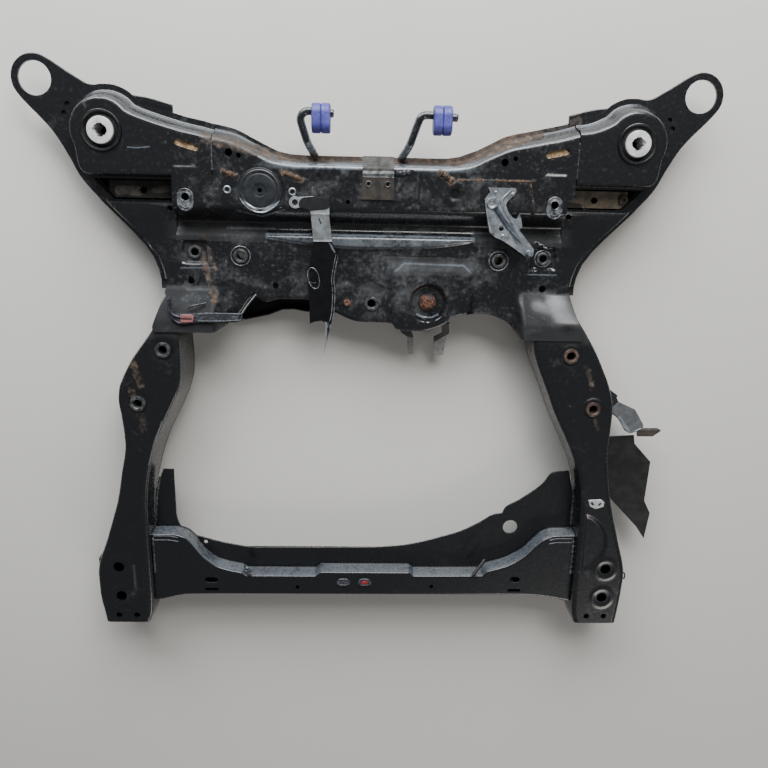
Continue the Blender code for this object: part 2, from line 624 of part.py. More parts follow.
def makeArmPlate(side, word):
    """Flat plate with the outer eye, its ring and the rim of the arm."""
    ringR = EYE_BORE / 2 + EYE_RING
    ring = arcPoints((EYE_X, EYE_Y), ringR, -36, 118, 16)
    outline = [(ARM_ROOT, 0.1200)] + list(ARM_FRONT_EDGE[::-1]) + ring + list(ARM_REAR_EDGE[::-1])
    outline = [point for point in outline if point[0] > ARM_ROOT + 0.001]
    outline = [(ARM_ROOT, along(ARM_REAR_EDGE, ARM_ROOT)), (ARM_ROOT, 0.1200)] + outline
    plate = flatPlate("arm_plate_" + word, mirrored(outline, side), RIM_Z, EYE_PLATE, "black_paint")
    window = mirrored(armWindow(), side)
    bm = bmesh.new()
    floor = bm.faces.new([bm.verts.new((x, y, -0.05)) for x, y in window])
    raised = bmesh.ops.extrude_face_region(bm, geom=[floor])["geom"]
    bmesh.ops.translate(bm, verts=[v for v in raised if isinstance(v, bmesh.types.BMVert)], vec=(0, 0, 0.2))
    bmesh.ops.recalc_face_normals(bm, faces=bm.faces[:])
    cutAway(plate, meshFrom(plate.name + "_window", bm))
    holes = [(side * EYE_X, EYE_Y, EYE_BORE)]
    roundHoles(plate, holes + [(side * 0.460, 0.395, 0.008), (side * 0.466, 0.382, 0.008)])
    return plate


def armWindow():
    """Opening of the arm plate under the box beam and the brace."""
    inside = ARM_ROOT - 0.020
    reach = BUSH_X - ARM_ROOT
    rim = [(ARM_ROOT + share * reach, y) for share, y in WINDOW_RIM]
    return [(inside, WINDOW_RIM[0][1])] + rim + [(inside, WINDOW_RIM[-1][1])]


def makeArmPan(side, word):
    """Pan that closes the arm from below, hung from the rim plate."""
    window = np.array(armWindow())
    rim = RIM_Z - EYE_PLATE - GAP
    loops = [raiseLoop(offsetPath(window, 0.006, True), rim - SHEET),
             raiseLoop(offsetPath(window, -0.002, True), rim - SHEET),
             raiseLoop(offsetPath(window, -0.007, True), PAN_Z + 0.006),
             raiseLoop(offsetPath(window, -0.013, True), PAN_Z)]
    loops = [mirrored(loop, side) for loop in loops]
    cut = [((side * (ARM_ROOT + GAP), 0, 0), (-side, 0, 0))]
    pan = drawnPan("arm_pan_" + word, loops, SHEET, "black_paint", cut, flip=True)
    roundHoles(pan, [(side * BUSH_X, BUSH_Y, HOUSING_OD + 2 * GAP), (side * 0.350, 0.250, 0.016)])
    return pan


def makeCrossmemberFloor():
    """Lower pressing of the rear crossmember, which the cradle rests on."""
    rows = []
    for x in FLOOR_STATIONS:
        ridge = along(RIDGE, min(abs(x), 0.300))
        rear = ridge + along(REAR_WALL, abs(x)) + FLANGE
        front = along(FLOOR_FRONT, x)
        lip = along(FLOOR_LIP, x)
        rows.append([(x, rear, RIM_Z - SHEET), (x, rear - 0.009, RIM_Z - SHEET),
                     (x, rear - 0.012, RIM_Z - 0.006),
                     (x, rear - 0.018, FLOOR_Z + 0.008), (x, rear - 0.026, FLOOR_Z),
                     (x, front + 0.012, FLOOR_Z),
                     (x, front + 0.003, FLOOR_Z + 0.006), (x, front, FLOOR_Z + 0.012), (x, front, lip)])
    floor = loft("crossmember_lower", [row[::-1] for row in rows], SHEET, "black_paint")
    holes = [(side * COLLAR_X, COLLAR_Y, 0.030) for side in (-1, 1)]
    holes += [(side * 0.100, 0.240, 0.022) for side in (-1, 1)] + [(*ROD_BOLT, 0.030)]
    roundHoles(floor, holes, low=-0.05, high=0.02)
    return floor


def makeArmWeb(side, word):
    """Front brace of an arm: the drawn strip from the pocket's ledge down to the rail."""
    rows = []
    rim = RIM_Z + GAP
    for y, drop in WEB_ROWS:
        inner = along(PLATE_SIDE, y) + 0.0007
        outer = along([(py, px) for px, py in ARM_FRONT_EDGE], y) - 0.0010
        top = WEB_Z - drop
        middle = (inner + outer - 0.010) / 2
        rows.append([(outer, y, rim + SHEET), (outer - 0.0060, y, rim + SHEET),
                     (outer - 0.0070, y, rim + 0.006), (outer - 0.0085, y, top - 0.003),
                     (outer - 0.0110, y, top), (middle, y, top + 0.0005), (inner, y, top)])
    rows = [mirroredRow(row, side) for row in rows]
    web = loft("arm_web_" + word, rows, SHEET, "black_paint")
    roundHoles(web, [(side * 0.312, 0.246, 0.008)])
    return web


def mirroredRow(row, side):
    """Keep a row of points on the right, or turn it over to the left with its direction reversed."""
    if side > 0:
        return row
    return [(-x, y, z) for x, y, z in row][::-1]


def makePocketPlate(side, word):
    """Small bracket in the pocket between the beam and the brace."""
    outline = [(ARM_ROOT + 0.002, 0.2600), (0.3960, 0.2600), (0.4060, 0.2700), (0.4060, 0.2865),
               (ARM_ROOT + 0.002, 0.2865)]
    plate = flatPlate("pocket_plate_" + word, mirrored(outline, side), RIM_Z + STACK, SHEET, "rusty_steel")
    roundHoles(plate, [(side * 0.3535, 0.2720, 0.010)])
    return plate


def railChains(table):
    """Outer, inner and inner-foot paths of one rail, from its rear end to its front end."""
    outer = [(outerX, y) for y, outerX, _, _ in table]
    inner = [(innerX, y) for y, _, innerX, _ in table]
    foot = [(footX, y) for y, _, _, footX in table]
    return np.array(outer), np.array(inner), np.array(foot)


def railTop(y):
    """Height of a rail's upper face: under the crossmember's ramp first, then level."""
    climb = ease((RAMP_START - RAMP_SETBACK - np.asarray(y)) / (RAMP_START - RAMP_END))
    start = DECK_Z - STACK - RAMP_RELIEF
    return start + (RAIL_Z - start) * climb


def railFloor(y):
    """Underside of a rail: the front foot is deeper."""
    return RAIL_FLOOR_Z + (FOOT_FLOOR_Z - RAIL_FLOOR_Z) * ease((-0.270 - np.asarray(y)) / 0.060)


def makeRail(side, word, table):
    """Side rail: an upper channel over a lower one, nested at their walls."""
    outer, inner, foot = railChains(table)
    top = railTop(outer[:, 1])
    low = railFloor(outer[:, 1])
    skirt = RAIL_SKIRT_Z
    upper = [(offsetPath(outer, -RAIL_DRAFT), np.full_like(top, skirt)), (outer, top - 0.008),
             (offsetPath(outer, 0.002), top - 0.002), (offsetPath(outer, 0.008), top),
             (offsetPath(inner, -0.008), top), (offsetPath(inner, -0.002), top - 0.002),
             (inner, top - 0.008), (foot, np.full_like(top, skirt))]
    rail = loft("rail_upper_" + word, railRows(upper, side, table), SHEET, "black_paint")

    overlap = skirt + RAIL_LAP
    share = RAIL_LAP / (top - 0.008 - skirt)
    lowOuter = offsetPath(outer, STACK + RAIL_PLAY - RAIL_DRAFT * (1.0 - share))
    lowInner = offsetPath(foot, -STACK - 2 * RAIL_PLAY - (inner - foot)[:, 0] * share)
    lower = [(lowOuter, np.full_like(low, overlap)), (offsetPath(lowOuter, 0.001), low + 0.010),
             (offsetPath(lowOuter, 0.003), low + 0.003), (offsetPath(lowOuter, 0.009), low),
             (offsetPath(lowInner, -0.009), low), (offsetPath(lowInner, -0.003), low + 0.003),
             (offsetPath(lowInner, -0.001), low + 0.010), (lowInner, np.full_like(low, overlap))]
    floor = loft("rail_lower_" + word, railRows(lower[::-1], side, table), SHEET, "black_paint")
    feet = [(side * x, y, FOOT_BORE) for x, y in FOOT_BOLTS]
    roundHoles(rail, [(side * x, y, RAIL_NUT_OD + 2 * GAP) for x, y in RAIL_NUTS] + feet
               + [(side * x, y, 0.0100) for x, y in FOOT_END_HOLES])
    roundHoles(floor, feet + [(side * 0.3400, -0.0100, 0.0220)])
    return rail, floor


def railRows(lines, side, table):
    """Cut the long lines of a rail into its cross-sections, with square ends."""
    rows = np.stack([np.column_stack([path, height]) for path, height in lines], axis=1)
    rows[0, :, 1] = table[0][0]
    rows[-1, :, 1] = FOOT_FRONT_Y
    return [mirroredRow([tuple(point) for point in row], side) for row in rows]


# Front crossmember: plan of the plateau's top, of the shelf plate's edges and of the pan's rim
FRONT_PLATEAU = ((-0.375, -0.4300), (-0.346, -0.4240), (-0.314, -0.4175), (-0.228, -0.4165),
                 (0.229, -0.4165), (0.298, -0.4175), (0.346, -0.4240), (0.375, -0.4300), (0.375, -0.3000),
                 (0.335, -0.3010), (0.318, -0.3070), (0.304, -0.3190), (0.287, -0.3380), (0.270, -0.3510),
                 (0.254, -0.3600), (0.234, -0.3670), (0.218, -0.3720), (0.209, -0.3800), (0.086, -0.3810),
                 (0.078, -0.3745), (-0.077, -0.3745), (-0.088, -0.3820), (-0.208, -0.3820),
                 (-0.218, -0.3760), (-0.236, -0.3720), (-0.258, -0.3650), (-0.272, -0.3560),
                 (-0.287, -0.3420), (-0.302, -0.3210), (-0.315, -0.3080), (-0.333, -0.3030),
                 (-0.375, -0.3030))
SHELF_REAR = ((0.3560, -0.1880), (0.3280, -0.1910), (0.3100, -0.2140), (0.2730, -0.2430), (0.2470, -0.2600),
              (0.2430, -0.2700), (0.2300, -0.2720), (0.2040, -0.2880), (0.1700, -0.3060), (0.1410, -0.3160),
              (0.0910, -0.3300), (0.0630, -0.3350), (0.0020, -0.3390), (-0.1930, -0.3400),
              (-0.2460, -0.3320), (-0.2860, -0.3210), (-0.3080, -0.3140), (-0.3210, -0.3050),
              (-0.3290, -0.2920), (-0.3320, -0.2750), (-0.3320, -0.1920), (-0.3500, -0.1920))
SHELF_FRONT = ((-0.3690, -0.4460), (-0.346, -0.4400), (-0.314, -0.4330), (0.314, -0.4330), (0.346, -0.4400),
               (0.3690, -0.4460))
FRONT_PAN = ((-0.380, -0.4200), (0.380, -0.4200), (0.380, -0.3560), (-0.380, -0.3560))
PLATEAU_SLOTS = ((-0.2700, -0.3900, 0.0230, 0.0110, 0), (0.2680, -0.3870, 0.0180, 0.0120, 0),
                 (-0.2700, -0.4080, 0.0240, 0.0055, 0), (0.2680, -0.4080, 0.0240, 0.0055, 0))
PLUGS = ((-0.0380, -0.3920), (0.0, -0.3920))
PLUG_SIZE = (0.0210, 0.0120)


def makeFrontCrossmember():
    """Raised plateau, shelf plate with its two gussets, and the pan below."""
    top = np.array(FRONT_PLATEAU)
    normals = offsetPath(top, 1.0, closed=True) - top
    normals /= np.linalg.norm(normals, axis=1)[:, None]
    flange = LEDGE_WALL + FLANGE * ease(-normals[:, 1] * 2.0 - 0.4)
    seat = SHELF_Z + STACK
    loops = [raiseLoop(offsetPath(top, flange + 0.0004, True), seat),
             raiseLoop(offsetPath(top, LEDGE_WALL, True), seat),
             raiseLoop(offsetPath(top, 0.3 * LEDGE_WALL, True), PLATEAU_Z - 0.004),
             raiseLoop(top, PLATEAU_Z - 0.0005), raiseLoop(offsetPath(top, -0.003, True), PLATEAU_Z)]
    end = FOOT_INNER_X - 2 * GAP
    ends = [((end, 0, 0), (1, 0, 0)), ((-end, 0, 0), (-1, 0, 0))]
    plateau = drawnPan("front_crossmember_upper", loops, SHEET, "black_paint", ends)
    slots(plateau, list(PLATEAU_SLOTS) + [(x, y, *PLUG_SIZE, 0) for x, y in PLUGS])
    roundHoles(plateau, [(-0.119, -0.403, 0.0070), (0.119, -0.401, 0.0070)])

    outline = list(SHELF_FRONT) + shelfSide(1) + list(SHELF_REAR) + shelfSide(-1)
    shelf = flatPlate("front_shelf", outline, SHELF_Z, SHEET, "black_paint")
    roundHoles(shelf, [(0.2590, -0.2970, GUSSET_BORE), (-0.2830, -0.3300, 0.0070)])

    pan = np.array(FRONT_PAN)
    rim = SHELF_Z - STACK
    loops = [raiseLoop(offsetPath(pan, 0.008, True), rim - SHEET), raiseLoop(pan, rim - SHEET),
             raiseLoop(offsetPath(pan, -0.005, True), FLOOR_Z + 0.006),
             raiseLoop(offsetPath(pan, -0.011, True), FLOOR_Z)]
    drawnPan("front_crossmember_lower", loops, SHEET, "black_paint", ends, flip=True)


def shelfSide(side):
    """Side edge of the shelf plate along a rail's inner wall, front to rear on the right."""
    table = RIGHT_RAIL if side > 0 else LEFT_RAIL
    edge = [(side * (footX - 0.0010), y) for y, _, _, footX in table if -0.420 < y < -0.195]
    return edge[::-1] if side > 0 else edge


def makeBushing(side, word):
    """Pressed-in body bushing: housing, rubber and aluminium sleeve."""
    at = (side * BUSH_X, BUSH_Y, 0)
    outer = HOUSING_OD / 2
    inner = outer - HOUSING_WALL
    top = BEAM_Z + 0.0030
    low = BUSH_FOOT
    turned("bushing_housing_" + word, [(outer - 0.0008, top), (outer, top - 0.0008), (outer, low),
                                       (inner, low), (inner, top)], at, "black_paint", 24)
    sleeve = inner - RUBBER_WALL
    rubberOut = inner - GAP
    rubberIn = sleeve + GAP
    turned("bushing_rubber_" + word, [(rubberIn, top - 0.0005), ((rubberIn + rubberOut) / 2, top - 0.0045),
                                      (rubberOut, top - 0.0010), (rubberOut, low + 0.004),
                                      ((rubberIn + rubberOut) / 2, low + 0.007), (rubberIn, low + 0.004)],
           at, "rubber", 24)
    high = BEAM_Z + SLEEVE_TOP
    bore = SLEEVE_BORE / 2
    turned("bushing_sleeve_" + word, [(sleeve - 0.0010, high), (sleeve, high - 0.0010), (sleeve, low),
                                      (bore, low), (bore, high)], at, "aluminium", 24)


def collar(name, x, y, top, outer, bore, proud, depth, finish="black_paint"):
    """Round weld nut: proud of the sheet whose upper face is at the height top."""
    turned(name, [(outer / 2 - 0.001, top + proud), (outer / 2, top + proud - 0.001),
                  (outer / 2, top - depth), (bore / 2, top - depth), (bore / 2, top + proud)],
           (x, y, 0), finish, 16)


def makeFixings():
    """Weld nuts, washers, cover and bolts of the crossmember and rails."""
    deck = float(plateTop(COLLAR_X, COLLAR_Y))
    for side, word in ((-1, "left"), (1, "right")):
        collar("engine_collar_" + word, side * COLLAR_X, COLLAR_Y, deck, COLLAR_OD, COLLAR_BORE,
               COLLAR_PROUD, COLLAR_DEPTH)
        recess = float(plateTop(side * SQUARE_X, SQUARE_Y))
        collar("rack_nut_" + word, side * SQUARE_X, SQUARE_Y, recess + GAP, RACK_NUT_OD, RACK_NUT_BORE,
               RACK_NUT_HEIGHT, 0.0, "worn_paint")
        seat = float(plateTop(side * KEY_X, KEY_Y))
        width = KEY_WASHER_WIDTH
        reach = (KEY_WASHER_LENGTH - width) / 2
        rim = arcPoints((0, reach), width / 2, 0, 180, 8) + arcPoints((0, -reach), width / 2, 180, 360, 8)
        rim = [(side * KEY_X + x, KEY_Y - KEY_WASHER_SHIFT + y) for x, y in rim]
        washer = flatPlate("key_washer_" + word, rim, seat + GAP + 0.003, 0.003, "worn_paint")
        roundHoles(washer, [(side * KEY_X, KEY_Y, KEY_BOLT)])
        for index, (x, y) in enumerate(RAIL_NUTS, 1):
            collar("rail_nut_%s_%d" % (word, index), side * x, y, RAIL_Z, RAIL_NUT_OD, RAIL_NUT_BORE,
                   RAIL_NUT_PROUD, RAIL_NUT_DEPTH)
    collar("middle_collar", *MID_COLLAR, float(plateTop(*MID_COLLAR)), COLLAR_OD, COLLAR_BORE,
           COLLAR_PROUD, COLLAR_DEPTH)
    seat = float(plateTop(*ROD_BOLT)) + GAP
    hexBolt("torque_rod_bolt", (*ROD_BOLT, seat), 0.0180, 0.0110, 0.0320, "bolt_rust", 0.0120, 0.0280)
    hexBolt("small_bolt", (-0.0370, 0.1040, float(plateTop(-0.0370, 0.1040)) + GAP), 0.0080, 0.0050, 0.0130,
            "bolt_rust", 0.0060, 0.0100)
    radius = COVER_D / 2
    high = BEAM_Z + STACK + 0.0030
    wall = 0.0015
    turned("round_cover", [(0.0030, high), (radius - 0.003, high), (radius, high - 0.003),
                           (radius, high - 0.020), (radius - wall, high - 0.020),
                           (radius - wall, high - 0.004),
                           (radius - wall - 0.003, high - wall), (0.0030, high - wall)],
           (*COVER_AT, 0), "worn_paint", 28)
    for index, (x, y) in enumerate(((-0.2180, 0.2760), (-0.1200, 0.2750)), 1):
        seat = float(plateTop(x, y)) + GAP
        turned("stud_washer_%d" % index, [(0.0055, 0.0020), (0.0062, 0.0012), (0.0062, 0.0), (0.0035, 0.0),
                                          (0.0035, 0.0020)], (x, y, seat), "zinc", 16)


def strip(name, path, gauge, finish):
    """A folded strip across X: its path gives (middle x, y, z, width) at each fold."""
    rows = [[(x + half * width / 2, y, z) for x, y, z, width in path] for half in (-1, 1)]
    return loft(name, rows, gauge, finish)


def stadium(x, y, length, width, steps=4):
    """Outline of a slot shape lying along X."""
    reach = (length - width) / 2
    right = arcPoints((x + reach, y), width / 2, -90, 90, steps)
    return right + arcPoints((x - reach, y), width / 2, 90, 270, steps)


def stacked(name, loops, finish):
    """A closed solid through loops of points that have the same count, with flat ends."""
    bm = bmesh.new()
    verts = [[bm.verts.new(point) for point in loop] for loop in loops]
    count = len(verts[0])
    for lower, upper in zip(verts, verts[1:]):
        for j in range(count):
            k = (j + 1) % count
            bm.faces.new((lower[j], lower[k], upper[k], upper[j]))
    bm.faces.new(verts[0])
    bm.faces.new(verts[-1])
    bmesh.ops.recalc_face_normals(bm, faces=bm.faces[:])
    piece = place(name, meshFrom(name, bm), finish)
    smoothRound(piece, 30.0)
    return piece


def makeHanger(word, route, isolatorX, isolatorY):
    """Exhaust hanger: a bent rod welded to the rear flange, and its grooved rubber isolator."""
    bar("hanger_rod_" + word, bendPath(route, 0.012, 4), HANGER_D, "black_paint", 1)
    length, height, width = ISOLATOR
    loops = []
    for offset, inset in ((-width / 2, 0.002), (0.002 - width / 2, 0.0), (-0.0015, 0.0), (0.0, 0.0015),
                          (0.0015, 0.0), (width / 2 - 0.002, 0.0), (width / 2, 0.002)):
        outline = stadium(isolatorY, HANGER_Z, length - 2 * inset, height - 2 * inset, ISOLATOR_STEPS)
        loops.append([(isolatorX + offset, y, z) for y, z in outline])
    isolator = stacked("isolator_" + word, loops, "violet_rubber")
    start, end = Vector(route[-2]), Vector(route[-1])
    turn = (end - start).to_track_quat("Z", "Y").to_matrix().to_4x4()
    bm = bmesh.new()
    bore = HANGER_D / 2 + GAP
    bmesh.ops.create_cone(bm, cap_ends=True, segments=DRILL_SIDES, radius1=bore, radius2=bore, depth=0.2,
                          matrix=Matrix.Translation((start + end) / 2) @ turn)
    cutAway(isolator, meshFrom("isolator_bore_" + word, bm))


def makeCentreBracket():
    """Folded bracket over the ridge in the middle of the rear beam."""
    beam = BEAM_Z + STACK
    middle, width = 0.0095, 0.0470
    fold = 0.0930
    path = [(middle, 0.3305, 0.0620, width), (middle, 0.3165, 0.0880, width),
            (middle, 0.3120, fold - 0.0005, width), (middle, 0.3040, fold, width),
            (middle, 0.3005, beam + STACK, width),
            (middle, 0.2660, beam + STACK, width + 0.004)]
    bracket = strip("centre_bracket", path, SHEET, "rusty_steel")
    roundHoles(bracket, [(x, 0.2890, 0.0060) for x in (-0.0050, 0.0240)])


def makeStrap():
    """Zinc strap with its eyelet, and the dark shield blade that hangs under its end."""
    top = BEAM_Z + STACK + GAP + STRAP_GAUGE
    outline = arcPoints(STRAP_EYE, 0.0090, 60, 300, 12)
    outline += [(-0.1050, 0.2520), (-0.0980, 0.2500), (-0.0930, 0.2470), (-0.0925, 0.2425), (-0.0640, 0.2425),
                (-0.0640, 0.2600), (-0.0720, 0.2680), (-0.0920, 0.2692)]
    strap = flatPlate("strap_bracket", outline, top, STRAP_GAUGE, "zinc")
    roundHoles(strap, [(*STRAP_EYE, 0.0090)])
    low = top - 0.0004
    path = [(-0.0785, 0.2550, low, 0.0275), (-0.0785, 0.2420, low, 0.0275),
            (-0.0782, 0.2390, low - 0.001, 0.0280), (-0.0745, 0.2010, STRAP_END_Z, 0.0292)]
    tongue = strip("strap_tongue", path, 0.0013, "zinc")
    parts.objects.unlink(tongue)
    cutters.objects.link(tongue)
    joinPiece(strap, tongue)

    blade = STRAP_END_Z - 0.0013 - 2 * GAP
    outline = [(-0.0890, 0.2050), (-0.0895, 0.1910), (-0.0949, 0.1615), (-0.0993, 0.1423), (-0.0968, 0.1247),
               (-0.0960, 0.1035), (-0.0952, 0.0711), (-0.0881, 0.0745), (-0.0757, 0.0765), (-0.0703, 0.0716),
               (-0.0720, 0.0210), (-0.0667, 0.0498), (-0.0579, 0.0862), (-0.0563, 0.1220), (-0.0580, 0.1395),
               (-0.0505, 0.1849), (-0.0583, 0.1930), (-0.0610, 0.2050)]
    fin = flatPlate("shield_fin", outline, blade, 0.0015, "shield_steel")
    roundHoles(fin, [(-0.0890, 0.1450, 0.0160)])


def makeAluminiumBracket():
    """Cast bracket over the trough, held off the deck by its bolt."""
    seat = BEAM_Z + STACK + GAP
    outline = ((0.1768, 0.2878), (0.1800, 0.2815), (0.1725, 0.2706), (0.1750, 0.2553), (0.1786, 0.2387),
               (0.1827, 0.2219), (0.1915, 0.2140), (0.2034, 0.2096), (0.2164, 0.2019), (0.2361, 0.1890),
               (0.2450, 0.1830), (0.2530, 0.1870), (0.2535, 0.1960), (0.2475, 0.2040), (0.2352, 0.2182),
               (0.2284, 0.2259), (0.2329, 0.2314), (0.2310, 0.2410), (0.2272, 0.2505), (0.2235, 0.2420),
               (0.2171, 0.2443), (0.2091, 0.2537), (0.2054, 0.2631), (0.2080, 0.2691), (0.2172, 0.2775),
               (0.2199, 0.2835), (0.2183, 0.2881))
    bracket = flatPlate("aluminium_bracket", outline[::-1], seat + CAST_GAUGE, CAST_GAUGE, "aluminium")
    x, y = BRACKET_BOLT
    roundHoles(bracket, [(x, y, 0.0080), (0.2006, 0.2275, 0.0075)])
    top = seat + CAST_GAUGE + GAP
    depth = top - float(plateTop(x, y)) - GAP
    hexBolt("bracket_bolt", (x, y, top), 0.0080, 0.0045, 0.0110, "bolt_rust", 0.0070, depth)


def makeClips():
    """Harness channel, hanging clips, rail clip and the shields outside the right rail."""
    seat = RAIL_Z + STACK + 2 * GAP
    outline = ((-0.3145, 0.1120), (-0.3150, 0.0990), (-0.3095, 0.0770), (-0.2960, 0.0700), (-0.2710, 0.0730),
               (-0.2110, 0.0750), (-0.1985, 0.0780), (-0.2000, 0.0895), (-0.2555, 0.0900), (-0.2690, 0.0880),
               (-0.2925, 0.0870), (-0.3030, 0.0870), (-0.3070, 0.1010), (-0.3080, 0.1150))
    flatPlate("harness_bracket", outline, seat + HARNESS_HEIGHT, HARNESS_HEIGHT, "black_plastic")
    strip("clip_bracket_1", [(0.0570, 0.0600, 0.0560, 0.014), (0.0570, 0.0590, 0.0430, 0.014),
                             (0.0640, 0.0500, 0.0350, 0.018), (0.0700, 0.0430, 0.0320, 0.010),
                             (0.0715, 0.0120, 0.0260, 0.009)], 0.0020, "zinc")
    strip("clip_bracket_2", [(0.1265, 0.0714, 0.0560, 0.012), (0.1265, 0.0685, 0.0440, 0.012),
                             (0.1285, 0.0520, 0.0380, 0.012), (0.1200, 0.0440, 0.0340, 0.022),
                             (0.1190, 0.0110, 0.0260, 0.016)], 0.0020, "zinc")
    outline = ((0.3800, -0.2240), (0.3840, -0.2360), (0.3950, -0.2410), (0.4080, -0.2360), (0.4090, -0.2280),
               (0.4020, -0.2225))
    flatPlate("zinc_clip", outline, RAIL_Z + GAP + 0.0015, 0.0015, "zinc")
    level = 0.0600
    outline = [(railSide(y, level), y) for y in (-0.080, -0.070, -0.060, -0.040)]
    outline += [(0.4235, -0.0474), (0.4269, -0.0591), (0.4555, -0.0717),
                (0.4722, -0.0976), (0.4760, -0.1053), (0.4993, -0.1050), (0.5050, -0.1083), (0.4924, -0.1185),
               (0.4658, -0.1188), (0.4519, -0.1132), (0.4430, -0.1089), (0.4300, -0.0900)]
    flatPlate("shield_tab", outline, level, 0.0020, "worn_paint")
    level = 0.0500
    outline = [(railSide(y, level), y) for y in (-0.235, -0.230, -0.190, -0.160, -0.130, -0.124)]
    outline += [(0.4636, -0.1206), (0.4665, -0.1362), (0.4985, -0.1699), (0.4966, -0.2442), (0.5094, -0.2677),
                (0.5044, -0.3183), (0.4871, -0.2942), (0.4347, -0.2400)]
    flatPlate("shield_wing", outline, level, 0.0025, "black_plastic")
    for index, (x, y) in enumerate(PLUGS, 1):
        length, width = PLUG_SIZE
        stem = stadium(x, y, length - 2 * GAP, width - 2 * GAP)
        head = stadium(x, y, length + 0.003, width + 0.003)
        crown = stadium(x, y, length - 0.001, width - 0.001)
        seat = PLATEAU_Z + GAP
        loops = [raiseLoop(stem, PLATEAU_Z - 0.008), raiseLoop(stem, seat), raiseLoop(head, seat),
                 raiseLoop(head, seat + 0.0015), raiseLoop(crown, seat + 0.0028)]
        stacked("crossmember_plug_%d" % index, loops, ("black_plastic", "red_plastic")[index - 1])


def railSide(y, z):
    """How far out the right rail's outer wall lies at a place and a height, with its clearance."""
    outer = along([(py, px) for py, px, _, _ in RIGHT_RAIL], y)
    share = (RAIL_Z - 0.008 - z) / (RAIL_Z - 0.008 - RAIL_SKIRT_Z)
    return outer + RAIL_DRAFT * share + 2 * GAP


clearScene()
parts = newCollection("front_subframe")
cutters = newCollection("cutters")
makeCrossmember()
makeCrossmemberFloor()
makeRearPanel()
for side, word, table in ((-1, "left", LEFT_RAIL), (1, "right", RIGHT_RAIL)):
    makeArmUpper(side, word)
    makeArmPlate(side, word)
    makeArmPan(side, word)
    makeArmWeb(side, word)
    makePocketPlate(side, word)
    makeRail(side, word, table)
    makeBushing(side, word)
makeFrontCrossmember()
makeFixings()
makeHanger("left", ((-0.0880, 0.3290, HANGER_FOOT_Z), (-0.0980, 0.3480, HANGER_Z),
                    (-0.1125, 0.3925, HANGER_Z), (-0.0580, 0.3885, HANGER_Z)), -0.0770, 0.3815)
makeHanger("right", ((0.0460, 0.3290, HANGER_FOOT_Z), (0.0560, 0.3460, HANGER_Z), (0.0720, 0.3905, HANGER_Z),
                     (0.1270, 0.3870, HANGER_Z)), 0.1040, 0.3825)
makeCentreBracket()
makeStrap()
makeAluminiumBracket()
makeClips()
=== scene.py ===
# Looks of the front subframe: worn black paint over dense pressings, with its fixings and brackets
import json
import math

import bmesh
import bpy
import numpy as np
from mathutils import Matrix, Vector


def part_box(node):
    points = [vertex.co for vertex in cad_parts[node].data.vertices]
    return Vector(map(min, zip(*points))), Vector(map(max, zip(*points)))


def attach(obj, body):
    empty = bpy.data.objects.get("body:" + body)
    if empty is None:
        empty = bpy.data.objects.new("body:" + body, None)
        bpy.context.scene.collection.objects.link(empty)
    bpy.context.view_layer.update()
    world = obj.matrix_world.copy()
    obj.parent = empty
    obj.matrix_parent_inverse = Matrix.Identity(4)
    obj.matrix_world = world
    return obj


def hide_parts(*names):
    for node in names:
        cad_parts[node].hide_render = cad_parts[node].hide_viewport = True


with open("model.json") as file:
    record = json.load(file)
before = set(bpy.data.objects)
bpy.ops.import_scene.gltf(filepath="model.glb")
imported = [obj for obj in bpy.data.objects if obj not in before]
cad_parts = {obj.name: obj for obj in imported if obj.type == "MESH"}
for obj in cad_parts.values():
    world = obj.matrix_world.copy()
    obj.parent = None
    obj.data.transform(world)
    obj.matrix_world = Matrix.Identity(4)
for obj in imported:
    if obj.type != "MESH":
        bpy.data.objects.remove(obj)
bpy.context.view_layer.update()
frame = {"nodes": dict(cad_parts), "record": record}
slotOf = {part["node"]: part["material_slot"] for part in frame["record"]["subparts"]}

# Levels of the pressings, upper faces, in metres
sheet = 0.0025
gap = 0.0003
stack = sheet + gap
rimZ = 0.0477
beamZ = 0.084
valleyZ = 0.056
deckZ = 0.066
railZ = 0.092
plateauZ = 0.078
shelfZ = 0.05

# Boat-shaped bead of the crossmember, read by the plate's formula and by its paint: half length, middle,
# bow of its middle line, half width at its tips and at its middle, and rise
bead = {"half": 0.166, "y": 0.2075, "bow": 0.0065, "least": 0.0015, "width": 0.0075, "rise": 0.006}


# Shader helpers

